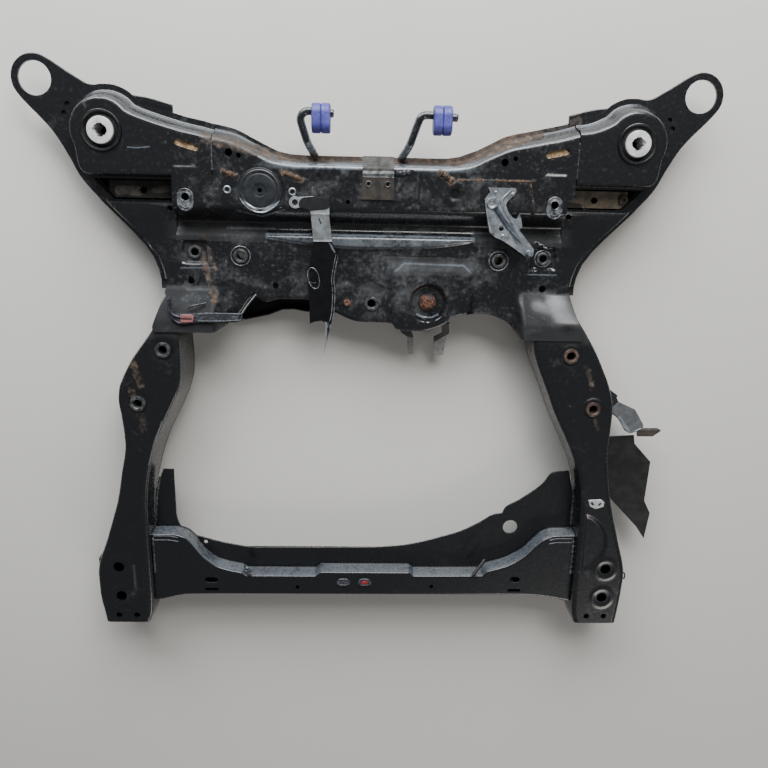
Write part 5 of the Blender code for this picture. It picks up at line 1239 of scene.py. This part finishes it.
# Weld nut: a ring from its depth below the sheet to its rise over it, with a rounded crown and a chamfered
# bore
def nut(node, at, top, outer, bore, proud, depth, finish=None):
    high = top + proud
    profile = [(outer / 2 - 0.0016, high), (outer / 2 - 0.0005, high - 0.0005), (outer / 2, high - 0.0016),
               (outer / 2, top - depth), (bore / 2, top - depth), (bore / 2, high - 0.0014),
               (bore / 2 + 0.0012, high)]
    settle(lathe(node + "_skin", profile, (*at, 0.0)), node, finish)


nutFinish = metalFinish("nut_paint", (0.12, 0.122, 0.125), (0.018, 0.019, 0.021), 0.3, 0.34, 140.0, 0.0,
                        (0.06, 0.042, 0.03))
copperNut = metalFinish("nut_rust", (0.15, 0.105, 0.085), (0.028, 0.021, 0.018), 0.35, 0.44, 150.0, 0.0,
                        (0.17, 0.075, 0.045))


# Weld nuts: outer and bore diameter, rise over the sheet and depth below it
collarSize = (0.023, 0.013, 0.004, 0.012)
rackNutSize = (0.021, 0.012, 0.005, 0.0)
railNutSize = (0.025, 0.014, 0.003, 0.014)


# Weld nuts of the deck and the rails
def makeNuts():
    for index, (side, word) in enumerate(((-1, "left"), (1, "right"))):
        nut("engine_collar_" + word, crossmember["collars"][index], deckZ, *collarSize, nutFinish)
        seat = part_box("rack_nut_" + word)[0].z
        nut("rack_nut_" + word, crossmember["squares"][index], seat, *rackNutSize, nutFinish)
        for number, (x, y) in enumerate(rail["nuts"], 1):
            nut("rail_nut_%s_%d" % (word, number), (side * x, y), railZ, *railNutSize,
                copperNut if side > 0 else nutFinish)
    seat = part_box("middle_collar")[1].z - collarSize[2]
    nut("middle_collar", crossmember["collars"][2], seat, *collarSize, nutFinish)


for side, word in ((-1, "left"), (1, "right")):
    makeBushing(side, word)
makeNuts()
print("bushings and nuts made")


# Round cover, washers and bolts

# Cover: its steps are radius and depth below the crown, from the middle hole to the rim
cover = {
    "radius": 0.0335,
    "proud": 0.003,
    "steps": ((0.003, 0.0022), (0.0036, 0.0014), (0.009, 0.0014), (0.01, 0.0004), (0.0225, 0.0002),
              (0.024, 0.0012), (0.0258, 0.0014), (0.0272, 0.0002), (0.029, 0.0), (0.0302, 0.0006),
              (0.0312, 0.0014), (0.0325, 0.0008), (0.0333, 0.0014), (0.0335, 0.0026)),
    "deep": 0.02,
    "wall": 0.0015,
}
keyWasher = {"length": 0.034, "width": 0.025, "thick": 0.0016, "seat": 0.0012, "bore": 0.012,
             "forward": 0.004}
# Bolts: place, width across flats, head height, flange and rings (radius, rise over the seat, thickness)
bolts = {
    "torque_rod_bolt": {"at": (0.0935, 0.1075), "across": 0.0165, "height": 0.011, "flange": 0.027,
                        "rings": ((0.0052, 0.0109, 0.0009), (0.0122, 0.0026, 0.001))},
    "small_bolt": {"at": (-0.037, 0.104), "across": 0.008, "height": 0.005, "flange": 0.013, "rings": ()},
    "bracket_bolt": {"at": (0.2456, 0.1905), "across": 0.008, "height": 0.0045, "flange": 0.011, "rings": ()},
}
springClip = {
    "wire": 0.0011,
    "lobes": ((0.259, 0.203), (0.261, 0.2065), (0.266, 0.2055), (0.2675, 0.201), (0.27, 0.203),
              (0.2745, 0.202), (0.275, 0.1975), (0.279, 0.1985), (0.28, 0.1955)),
}
# Pale rings round the deck's nuts, painted highlight on their raised rings: place, radius, rise over the deck
# and thickness
nutRings = (((0.276, 0.18), 0.0128, -0.005, 0.0012), ((0.204, 0.1755), 0.015, 0.0012, 0.0012),
            ((-0.204, 0.1755), 0.015, 0.001, 0.001))


# Round cover: its steps, then the rim's wall down and its inside back up
def makeCover():
    radius, high, wall = cover["radius"], beamZ + stack + cover["proud"], cover["wall"]
    foot = high - cover["deep"]
    profile = [(reach, high - depth) for reach, depth in cover["steps"]]
    profile += [(radius, foot), (radius - wall, foot), (radius - wall, high - 0.005),
                (radius - 3 * wall, high - 0.0032), (profile[0][0], high - 0.0032)]
    settle(lathe("cover_skin", profile, (*crossmember["cover"], 0.0), 128), "round_cover", coverFinish)


# Tabbed washer: a stadium plate whose rings run at set distances inside its edge and round its bolt, and the
# half ring of its tab in front
def makeKeyWasher(at, word):
    size = keyWasher
    level = beamZ + stack + size["seat"]
    top = level + size["thick"]
    rim = np.array(stadium(0, 0, size["length"], size["width"]))[:, ::-1] * (-1, 1)
    rim = rim + (at[0], at[1] - size["forward"])
    plate = plateFrom("key_plate_" + word, rim, top, size["thick"], 0.0004, holes=[(*at, size["bore"])])
    shells = [plate, hoop("key_rim_" + word, offsetPath(rim, -0.001, True), top, 0.0009),
              hoop("key_inner_" + word, offsetPath(rim, -0.0052, True), top, 0.0007),
              ringAt("key_hole_" + word, at, size["bore"] / 2 + 0.0006, top, 0.0009)]
    tab = arcPoints((at[0] - math.copysign(0.001, at[0]), at[1] - 0.0162), 0.0045, 180, 360, 16)
    shells.append(tube("key_tab_" + word, smoothAlong(atHeight(tab, level + 0.0012), 0.001), 0.0008, 12))
    settle(together("key_skin_" + word, shells), "key_washer_" + word, washerFinish)


# Hexagon head with a chamfer: its corners lie at the width across flats over the root of three, and flange,
# chamfer and seat are shares of the head's height
def makeBolt(node, finish):
    at, across, height, flange, rings = bolts[node].values()
    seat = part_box(node)[1].z - height
    profile = [(across * 0.25, seat + height * 0.42), (flange / 2 - 0.002, seat + height * 0.3),
               (flange / 2 - 0.0004, seat + height * 0.2), (flange / 2, seat + height * 0.1),
               (flange / 2, seat), (across * 0.2, seat)]
    shells = [lathe(node + "_flange", profile, (*at, 0.0), 64)]
    turns = np.radians(np.arange(6) * 60.0 + 12.0)
    corner = across / math.sqrt(3)
    hexagon = [(at[0] + corner * math.cos(a), at[1] + corner * math.sin(a)) for a in turns]
    levels = [(0.0, seat + height * 0.2), (0.0, seat + height * 0.88), (-across * 0.07, seat + height)]
    loops = [atHeight(offsetPath(hexagon, shift, True), z) for shift, z in levels]
    shells.append(solidFrom(node + "_head", loops))
    shells += [ringAt(node + "_ring", at, radius, seat + rise, thick) for radius, rise, thick in rings]
    settle(together(node + "_skin", shells), node, finish, angle=30.0)


# Key washers, bolts, the three lobes of the spring clip's wire, and the rings round the nuts
def makeSmallFixings():
    for at, word in zip(crossmember["keys"], ("left", "right")):
        makeKeyWasher(at, word)
    makeBolt("torque_rod_bolt", finishes["bolt_rust"])
    makeBolt("small_bolt", finishes["bolt_rust"])
    makeBolt("bracket_bolt", washerFinish)
    path = smoothAlong(atHeight(springClip["lobes"], deckZ + 0.0015), 0.0008)
    settle(tube("spring_clip", path, springClip["wire"], 12), None, washerFinish, "zinc")
    shells = [ringAt("nut_ring", at, radius, deckZ + rise, thick) for at, radius, rise, thick in nutRings]
    settle(together("nut_rings", shells), None, washerFinish, "worn_paint")


# Dark cover paint; the pale blue-grey arc along the front of its rim is painted highlight
coverFinish = zonedFinish("cover_paint", (0.026, 0.029, 0.033), 0.36, 0.1, [
    ((-0.202, 0.264), (-0.169, 0.242), 0.0022, (0.3, 0.34, 0.38), 0.28, 0.4),
    ((-0.169, 0.242), (-0.138, 0.26), 0.0022, (0.34, 0.38, 0.42), 0.28, 0.4)], mottle=0.55, scale=120.0)
washerFinish = metalFinish("washer_paint", (0.3, 0.32, 0.34), (0.04, 0.043, 0.047), 0.55, 0.3, 120.0, 0.0,
                           (0.02, 0.02, 0.022))
makeCover()
makeSmallFixings()


# Cast bracket: ribs and a rivet's size as radius and rise, boss steps as radius and rise over the plate
castBracket = {
    "ribs": (((0.185, 0.264), (0.196, 0.248), (0.211, 0.228), (0.232, 0.208)),
             ((0.196, 0.27), (0.204, 0.254), (0.218, 0.235)),
             ((0.179, 0.27), (0.1815, 0.248), (0.189, 0.22)),
             ((0.212, 0.285), (0.199, 0.268), (0.206, 0.252))),
    "rib": 0.0017,
    "boss": (0.1846, 0.265),
    "bossSteps": ((0.0042, 0.0012), (0.0066, 0.0024), (0.0082, 0.0024), (0.0092, 0.0012), (0.0094, -0.002),
                  (0.0042, -0.002)),
    "rivets": ((0.2038, 0.2164), (0.215, 0.279), (0.1885, 0.281)),
    "rivet": (0.003, 0.0016),
}


def makeCastBracket():
    refined("aluminium_bracket", 0.0009, castFinish)
    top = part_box("aluminium_bracket")[1].z
    shells = [tube("cast_rib", smoothAlong(atHeight(points, top), 0.0015), castBracket["rib"], 14, 0.8)
              for points in castBracket["ribs"]]
    steps = [(reach, top + rise) for reach, rise in castBracket["bossSteps"]]
    shells.append(lathe("cast_boss", steps, (*castBracket["boss"], 0.0), 64))
    shells += [dome("cast_rivet", (x, y, top), *castBracket["rivet"]) for x, y in castBracket["rivets"]]
    settle(together("cast_ribs", shells), None, castFinish, "aluminium")


# Cable clip: outline of its base plate, its rails and hooks as path, radius and rise over the base, the
# channel's shell, the pale red connector and the two thin arms
harness = {
    "outline": ((-0.3145, 0.112), (-0.315, 0.099), (-0.3095, 0.077), (-0.296, 0.07), (-0.271, 0.073),
                (-0.211, 0.075), (-0.1985, 0.078), (-0.2, 0.0895), (-0.2555, 0.09), (-0.269, 0.088),
                (-0.2925, 0.087), (-0.303, 0.087), (-0.307, 0.101), (-0.308, 0.115)),
    "thick": 0.0022,
    "lines": ((((-0.268, 0.0872), (-0.233, 0.0882), (-0.201, 0.0885)), 0.0013, 0.0036),
              (((-0.269, 0.0762), (-0.233, 0.0768), (-0.201, 0.079)), 0.0013, 0.0036),
              (((-0.313, 0.111), (-0.3125, 0.098), (-0.305, 0.085), (-0.293, 0.082)), 0.0019, 0.0034),
              (((-0.311, 0.09), (-0.304, 0.0765), (-0.295, 0.0722), (-0.274, 0.0745)), 0.0014, 0.003)),
    "shell": ((-0.272, 0.0765), (-0.233, 0.0775), (-0.205, 0.0795), (-0.204, 0.086), (-0.233, 0.086),
              (-0.271, 0.0855)),
    "plug": ((-0.2955, 0.0735), (-0.276, 0.0745), (-0.2735, 0.084), (-0.279, 0.0868), (-0.295, 0.086)),
    "arms": (((-0.2841, 0.0951, 0.093), (-0.278, 0.099, 0.094), (-0.2574, 0.1029, 0.085)),
             ((-0.2, 0.089, 0.096), (-0.193, 0.1, 0.09), (-0.18, 0.1165, 0.077))),
    "arm": 0.0016,
}


def makeHarness():
    low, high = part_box("harness_bracket")
    thick = harness["thick"]
    shells = [plateFrom("harness_base", harness["outline"], low.z + thick, thick, 0.0007)]
    shells += [tube("harness_line", smoothAlong(atHeight(points, low.z + rise), 0.0012), radius, 14)
               for points, radius, rise in harness["lines"]]
    shells.append(plateFrom("harness_shell", harness["shell"], low.z + 0.004, 0.003, 0.0008))
    settle(together("harness_skin", shells), "harness_bracket", gloss)
    plug = plateFrom("harness_plug", harness["plug"], high.z - 0.0002, 0.0042, 0.0012)
    settle(plug, None, connectorFinish, "red_plastic")
    arms = [tube("harness_arm", smoothAlong(points, 0.0015), harness["arm"],
                 12) for points in harness["arms"]]
    settle(together("harness_arms", arms), None, gloss, "black_plastic")


connectorFinish = zonedFinish("connector", (0.3, 0.115, 0.11), 0.5, 0.0, [
    ((-0.294, 0.08), (-0.278, 0.08), 0.0012, (0.02, 0.014, 0.014), 0.5, 0.0)], mottle=0.5)


# Blade under the strap: the bright double line of its right edge and the oval ring, leaning by its third size
fin = {
    "edge": ((-0.064, 0.064), (-0.0568, 0.09), (-0.0553, 0.123), (-0.057, 0.1395), (-0.0505, 0.182)),
    "shifts": (0.0, -0.0036),
    "line": 0.0008,
    "ovalAt": (-0.089, 0.144),
    "oval": (0.0088, 0.0165, 0.003),
}


def makeFin():
    refined("shield_fin", 0.0005, finFinish)
    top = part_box("shield_fin")[1].z
    # Pale double line of the right edge and pale oval: thin beads whose colour is painted highlight
    shells = [tube("fin_edge", smoothAlong([(x + shift, y, top) for x, y in fin["edge"]], 0.0015),
                   fin["line"], 10)
              for shift in fin["shifts"]]
    (middleX, middleY), (wide, tall, lean) = fin["ovalAt"], fin["oval"]
    oval = [(middleX + wide * math.cos(a) - lean * math.sin(a), middleY + tall * math.sin(a))
            for a in np.linspace(0, 2 * np.pi, 40, endpoint=False)]
    shells.append(hoop("fin_oval", oval, top, 0.0009))
    settle(together("fin_lines", shells), None, washerFinish, "shield_steel")


# Grey bracket, brown tab and black web outside the right rail, in place of the one plain plate
shieldTab = {
    "grey": ((0.412, -0.074), (0.4269, -0.0591), (0.4555, -0.0717), (0.4722, -0.0976), (0.473, -0.1042),
             (0.4519, -0.1132), (0.443, -0.1089), (0.426, -0.082)),
    "web": ((0.4078, -0.036), (0.4235, -0.0474), (0.4218, -0.0506), (0.4347, -0.073), (0.412, -0.076)),
    "brown": ((0.4637, -0.1099), (0.4759, -0.1053), (0.4993, -0.105), (0.505, -0.1083), (0.4924, -0.1185),
              (0.4658, -0.1188)),
    "lip": ((0.415, -0.0765), (0.43, -0.088), (0.443, -0.108), (0.4519, -0.1122), (0.47, -0.105)),
}


def makeShieldTab():
    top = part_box("shield_tab")[1].z
    settle(plateFrom("tab_grey", shieldTab["grey"], top, 0.002, 0.0008), "shield_tab", greyTab)
    settle(plateFrom("tab_web", shieldTab["web"], top - 0.0022, 0.0015, 0.0005), None, None, "black_plastic")
    settle(plateFrom("tab_brown", shieldTab["brown"], top - 0.0003, 0.002, 0.0006), None, brownTab,
           "worn_paint")
    # Pale rolled lip along the lower-left edge: its colour is painted highlight
    lip = smoothAlong(atHeight(shieldTab["lip"], top), 0.0015)
    settle(tube("tab_lip", lip, 0.0011, 12), None, washerFinish, "worn_paint")


# Grey paint with a pale strip along the lower-left edge: painted highlight
greyTab = zonedFinish("tab_paint", (0.15, 0.156, 0.165), 0.42, 0.2, [
    ((0.43, -0.086), (0.448, -0.109), 0.003, (0.3, 0.32, 0.34), 0.35, 0.3)], mottle=0.4)
brownTab = zonedFinish("tab_rust", (0.06, 0.045, 0.036), 0.6, 0.1, [
    ((0.468, -0.107), (0.5, -0.1065), 0.001, (0.16, 0.14, 0.125), 0.5, 0.1)], mottle=0.5)


# Plug heads: a dark dished ring on each, and a small red centre in the second
plugs = {"at": ((-0.038, -0.392), (0.0, -0.392)), "head": (0.0235, 0.0145), "button": (0.011, 0.0062)}


def makePlugs():
    for index, centre in enumerate(plugs["at"], 1):
        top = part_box("crossmember_plug_%d" % index)[1].z
        outline = stadium(*centre, *plugs["head"])
        shells = [plateFrom("plug_seat_%d" % index, outline, top - 0.001, 0.0018, 0.0006),
                  hoop("plug_rim_%d" % index, offsetPath(outline, -0.0016, True), top - 0.0012, 0.0012)]
        ring = together("plug_ring_%d" % index, shells)
        if index == 1:
            settle(ring, "crossmember_plug_1", gloss)
        else:
            settle(ring, None, gloss, "black_plastic")
            button = plateFrom("plug_button", stadium(*centre, *plugs["button"]), top + 0.0002, 0.002, 0.0006)
            settle(button, "crossmember_plug_2")


# Rivet rings of the middle bracket, and the weld nut of the right pocket as radius and rise over its plate
rivets = {"at": ((-0.005, 0.289), (0.024, 0.289)), "ring": (0.004, 0.0012)}
pocketNut = {
    "at": (0.399, 0.274, 0.0),
    "steps": ((0.0062, 0.0044), (0.0072, 0.0036), (0.0074, 0.0), (0.0036, 0.0), (0.0036, 0.004),
              (0.0042, 0.0044)),
}


def makeRivets():
    radius, thick = rivets["ring"]
    shells = [ringAt("rivet_ring", at, radius, beamZ + 2 * stack, thick) for at in rivets["at"]]
    settle(together("bracket_rivets", shells), None, nutFinish, "rusty_steel")
    steps = [(reach, rimZ + stack + rise) for reach, rise in pocketNut["steps"]]
    settle(lathe("pocket_nut", steps, pocketNut["at"], 48), None, copperNut, "rusty_steel")


makeCastBracket()
makeHarness()
makeFin()
makeShieldTab()
makePlugs()
makeRivets()
ownFinish = {"strap_bracket": strapFinish, "centre_bracket": foldFinish, "pocket_plate_left": pocketLeft,
             "pocket_plate_right": pocketRight, "zinc_clip": clipFinish, "shield_wing": wingFinish,
             "clip_bracket_1": clipPair, "clip_bracket_2": clipPair, "crossmember_lower": innerShadeFinish}
for node in ("stud_washer_1", "stud_washer_2", "strap_bracket", "clip_bracket_1", "clip_bracket_2",
             "zinc_clip", "shield_wing", "centre_bracket", "arm_web_left", "arm_web_right",
             "pocket_plate_left", "pocket_plate_right", "arm_pan_left", "arm_pan_right", "rail_lower_left",
             "rail_lower_right", "crossmember_lower", "front_crossmember_lower"):
    refined(node, finish=ownFinish.get(node))
print("fixings and brackets made")


# Welds, liners and small trim

# Weld runs: three points, radius and which finish
weldRuns = (
    ((-0.2249, 0.3027, 0.0858), (-0.213, 0.299, 0.0862), (-0.1998, 0.2947, 0.0868), 0.0034, "rust"),
    ((-0.1339, 0.3034, 0.085), (-0.121, 0.298, 0.0862), (-0.107, 0.2935, 0.0872), 0.0034, "rust"),
    ((0.1027, 0.309, 0.0868), (0.114, 0.302, 0.0874), (0.1231, 0.2949, 0.0872), 0.0046, "rust"),
    ((0.1291, 0.2976, 0.0856), (0.19, 0.2982, 0.0856), (0.243, 0.2982, 0.0856), 0.0017, "rust"),
    ((0.242, 0.295, 0.0868), (0.246, 0.278, 0.0868), (0.251, 0.253, 0.0866), 0.0012, "rust"),
    ((0.0348, 0.3048, 0.087), (0.047, 0.3062, 0.0872), (0.0588, 0.3076, 0.0868), 0.004, "black"),
    ((0.3668, -0.308, 0.0782), (0.3672, -0.34, 0.0782), (0.3672, -0.376, 0.0782), 0.0024, "black"),
    ((0.3672, -0.205, 0.0508), (0.368, -0.245, 0.0508), (0.3684, -0.292, 0.0508), 0.002, "black"),
    ((-0.356, -0.205, 0.0508), (-0.364, -0.245, 0.0508), (-0.3684, -0.292, 0.0508), 0.002, "black"),
    ((-0.3672, -0.308, 0.0782), (-0.3672, -0.34, 0.0782), (-0.3672, -0.376, 0.0782), 0.0018, "black"),
    ((0.313, 0.356, 0.0838), (0.313, 0.335, 0.0842), (0.313, 0.303, 0.0842), 0.0013, "black"),
    ((-0.24, 0.346, 0.0838), (-0.24, 0.325, 0.0842), (-0.24, 0.303, 0.0842), 0.0013, "black"),
)
# Short ribs at both ends of the plateau: rows, the points along each and the radius
endRibs = {
    "rows": (-0.305, -0.3125),
    "points": ((0.324, -0.003, 0.078), (0.342, 0.0, 0.0782), (0.366, 0.0, 0.0782)),
    "radius": 0.0012,
}


# Weld beads in one piece for each finish, and the short end ribs
def makeWelds():
    for word, finish, slotName in (("rust", weldRust, "rusty_steel"), ("black", gloss, "black_paint")):
        shells = [beadAlong("weld", (first, middle, last), radius)
                  for first, middle, last, radius, kind in weldRuns if kind == word]
        settle(together("welds_" + word, shells), None, finish, slotName)
    ribs = []
    for side in (-1, 1):
        for row in endRibs["rows"]:
            path = smoothAlong([(side * x, row + y, z) for x, y, z in endRibs["points"]], 0.002)
            ribs.append(tube("end_rib", path, endRibs["radius"], 12))
    settle(together("end_ribs", ribs), None, gloss, "black_paint")


# Thin liners that show inside the arm slots, dark discs under the small arm holes as painted shade in the
# holes, end walls of the feet, the plate beside the left foot and the hook beside the right one. Boxes are x
# and y corners, then low and high
liners = {
    "slot": (0.046, 0.02),
    "armHoleShade": ((0.0002, -0.0045), (0.007, -0.0045), (0.007, -0.008), (0.0002, -0.008)),
    "footEnd": (0.3805, 0.45, -0.4648, -0.463, 0.0075, 0.088),
    "sidePlate": (-0.467, -0.4635, -0.402, -0.354, 0.028, 0.066),
    "hook": ((0.46, -0.38, 0.056), (0.467, -0.38, 0.06), (0.473, -0.384, 0.061),
             (0.4735, -0.392, 0.06), (0.466, -0.396, 0.058)),
    "hookWire": 0.0013,
}


# Closed block over the rectangle between two heights, mirrored in x for side -1
def boxFrom(name, corners, side=1):
    left, right, front, rear, low, high = corners
    plan = mirrored([(left, front), (right, front), (right, rear), (left, rear)], side)
    return outward(solidFrom(name, [atHeight(plan, low), atHeight(plan, high)]))


def makeLiners():
    for side, word in ((-1, "left"), (1, "right")):
        x, y, angle = (armSlots[word][i] for i in (0, 1, 4))
        outline = slotOutline(x, y, *liners["slot"], angle)
        liner = plateFrom("slot_liner_" + word, outline, beamZ - 0.0042, 0.0012, 0.0003)
        settle(liner, None, slotRust, "rusty_steel")
        # Dark discs under the small holes: painted shade seen through them
        profile = [(reach, rimZ + rise) for reach, rise in liners["armHoleShade"]]
        spots = [lathe("arm_hole_shade", profile, (side * x, y, 0.0), 24) for x, y in arm["small"]]
        settle(together("arm_hole_shades_" + word, spots), None, None, "black_plastic")
        settle(boxFrom("foot_end_" + word, liners["footEnd"], side), None, None, "black_paint")
    settle(boxFrom("foot_side_plate", liners["sidePlate"]), None, None, "black_paint")
    hook = tube("foot_hook", smoothAlong(liners["hook"], 0.001), liners["hookWire"], 12)
    settle(hook, None, None, "black_plastic")


# Fir-tree clip on the right of the front crossmember: its radius is a core with saw-tooth barbs along it,
# and the clump of clip remains on the left is three crossed lumps
treeClip = {
    "path": ((0.1907, -0.3788, 0.0816), (0.201, -0.361, 0.0818), (0.2118, -0.3431, 0.0818)),
    "core": 0.0013,
    "barb": 0.0024,
    "barbs": 7.0,
}
clump = (((-0.212, -0.359, 0.08), (-0.206, -0.364, 0.0806), (-0.204, -0.372, 0.08)),
         ((-0.206, -0.361, 0.081), (-0.208, -0.37, 0.0808), (-0.201, -0.378, 0.08)),
         ((-0.211, -0.37, 0.08), (-0.205, -0.37, 0.0812), (-0.199, -0.368, 0.08)))


def makeTrimClips():
    path = smoothAlong(treeClip["path"], 0.0004)
    share = np.linspace(0.0, 1.0, len(path))
    ends = ease(share / 0.08) * ease((1.0 - share) / 0.05)
    barbs = treeClip["core"] + treeClip["barb"] * (1.0 - (share * treeClip["barbs"]) % 1.0) * ends
    settle(tube("tree_clip", path, barbs, 16), None, None, "black_plastic")
    lumps = [beadAlong("clump", points, 0.0028, 0.0011, 0.9) for points in clump]
    settle(together("clip_remains", lumps), None, gloss, "black_plastic")


makeWelds()
makeLiners()
makeTrimClips()
print("welds and trim made")


# Exhaust hangers

hanger = {
    "left": {"route": ((-0.088, 0.329, 0.053), (-0.098, 0.348, 0.08), (-0.1125, 0.3925, 0.08),
                       (-0.058, 0.3885, 0.08)), "block": (-0.077, 0.3815)},
    "right": {"route": ((0.046, 0.329, 0.053), (0.056, 0.346, 0.08), (0.072, 0.3905, 0.08),
                        (0.127, 0.387, 0.08)), "block": (0.104, 0.3825)},
    "rod": 0.006,
    "size": (0.043, 0.03, 0.028),
}


# Exhaust hanger: a rod bent by 12 mm arcs, and a rubber block whose outline is drawn in at both ends by a
# quarter circle and in the middle by a groove
def makeHanger(word):
    route = hanger[word]["route"]
    path = smoothAlong(bendPath(route, 0.012), 0.002)
    radius = np.full(len(path), hanger["rod"])
    radius[-1] = hanger["rod"] - 0.0008
    settle(tube("hanger_skin_" + word, path, radius, 32), "hanger_rod_" + word)
    length, height, width = hanger["size"]
    middleX, middleY = hanger[word]["block"]
    loops = []
    for share in np.linspace(-1, 1, 41):
        edge = 0.003 * (1 - math.sqrt(max(0.0, 1 - max(0.0, abs(share) - 0.8) ** 2 / 0.04)))
        groove = 0.0022 * ease(1 - abs(share) / 0.1)
        inset = edge + groove
        outline = stadium(middleY, 0.08, length - 2 * inset, height - 2 * inset, 20)
        loops.append([(middleX + share * width / 2, y, z) for y, z in outline])
    settle(outward(solidFrom("isolator_skin_" + word, loops)), "isolator_" + word)


makeHanger("left")
makeHanger("right")
print("hangers made")


# Floor, light and camera

# Pale floor under the part
def makeStage():
    corners = atHeight([(-4, -4), (4, -4), (4, 4), (-4, 4)], -0.0004)
    floor = linked("floor", newMesh("floor", corners, [[0, 1, 2, 3]]))
    made, shader, place = newFinish("floor_pale")
    connect(shader, base=(0.64, 0.62, 0.585), rough=0.75 + place.noise(3.0, 2.0, 0.5) * 0.05)
    floor.data.materials.append(made)


# Lamps, each with its place, aim, width and height, power and tint
lamps = {
    "window": ((-0.3, 2.3, 1.25), (0.0, 0.1, 0.0), (3.0, 1.3), 150.0, (0.93, 0.97, 1.0)),
    "ceiling": ((0.7, 2.3, 2.5), (0.0, 0.1, 0.0), (1.8, 0.9), 60.0, (1.0, 0.98, 0.95)),
    "fill": ((1.6, -2.9, 2.0), (0.0, 0.0, 0.0), (1.6, 1.2), 30.0, (1.0, 0.97, 0.93)),
}
# Camera: place, turns in degrees and lens in millimetres, from the photo's own view
view = {"at": (-0.016, 0.287, 1.218), "roll": -0.81, "yaw": 2.03, "pitch": 15.4, "lens": 33.75}


# Area lamp that faces its target
def addLight(name):
    at, target, size, power, tint = lamps[name]
    data = bpy.data.lights.new(name, "AREA")
    data.shape = "RECTANGLE"
    data.size, data.size_y = size
    data.energy = power
    data.color = tint
    lamp = bpy.data.objects.new(name, data)
    lamp.location = at
    lamp.rotation_euler = (Vector(target) - Vector(at)).to_track_quat("-Z", "Y").to_euler()
    bpy.context.scene.collection.objects.link(lamp)


# Camera of the photo: its turn is roll, then yaw, then pitch, transposed
def makeCamera():
    data = bpy.data.cameras.new("camera")
    data.sensor_width = 36.0
    data.lens = view["lens"]
    data.clip_start, data.clip_end = 0.05, 30.0
    camera = bpy.data.objects.new("camera", data)
    roll, yaw, pitch = (math.radians(view[key]) for key in ("roll", "yaw", "pitch"))
    turn = Matrix.Rotation(roll, 3, "Z") @ Matrix.Rotation(yaw, 3, "Y") @ Matrix.Rotation(pitch, 3, "X")
    camera.matrix_world = Matrix.Translation(view["at"]) @ turn.transposed().to_4x4()
    bpy.context.scene.collection.objects.link(camera)
    bpy.context.scene.camera = camera


makeStage()
for name in lamps:
    addLight(name)
world = bpy.data.worlds.new("room")
world.use_nodes = True
world.node_tree.nodes["Background"].inputs["Color"].default_value = (0.55, 0.56, 0.58, 1.0)
world.node_tree.nodes["Background"].inputs["Strength"].default_value = 0.26
bpy.context.scene.world = world
makeCamera()
print("stage made")
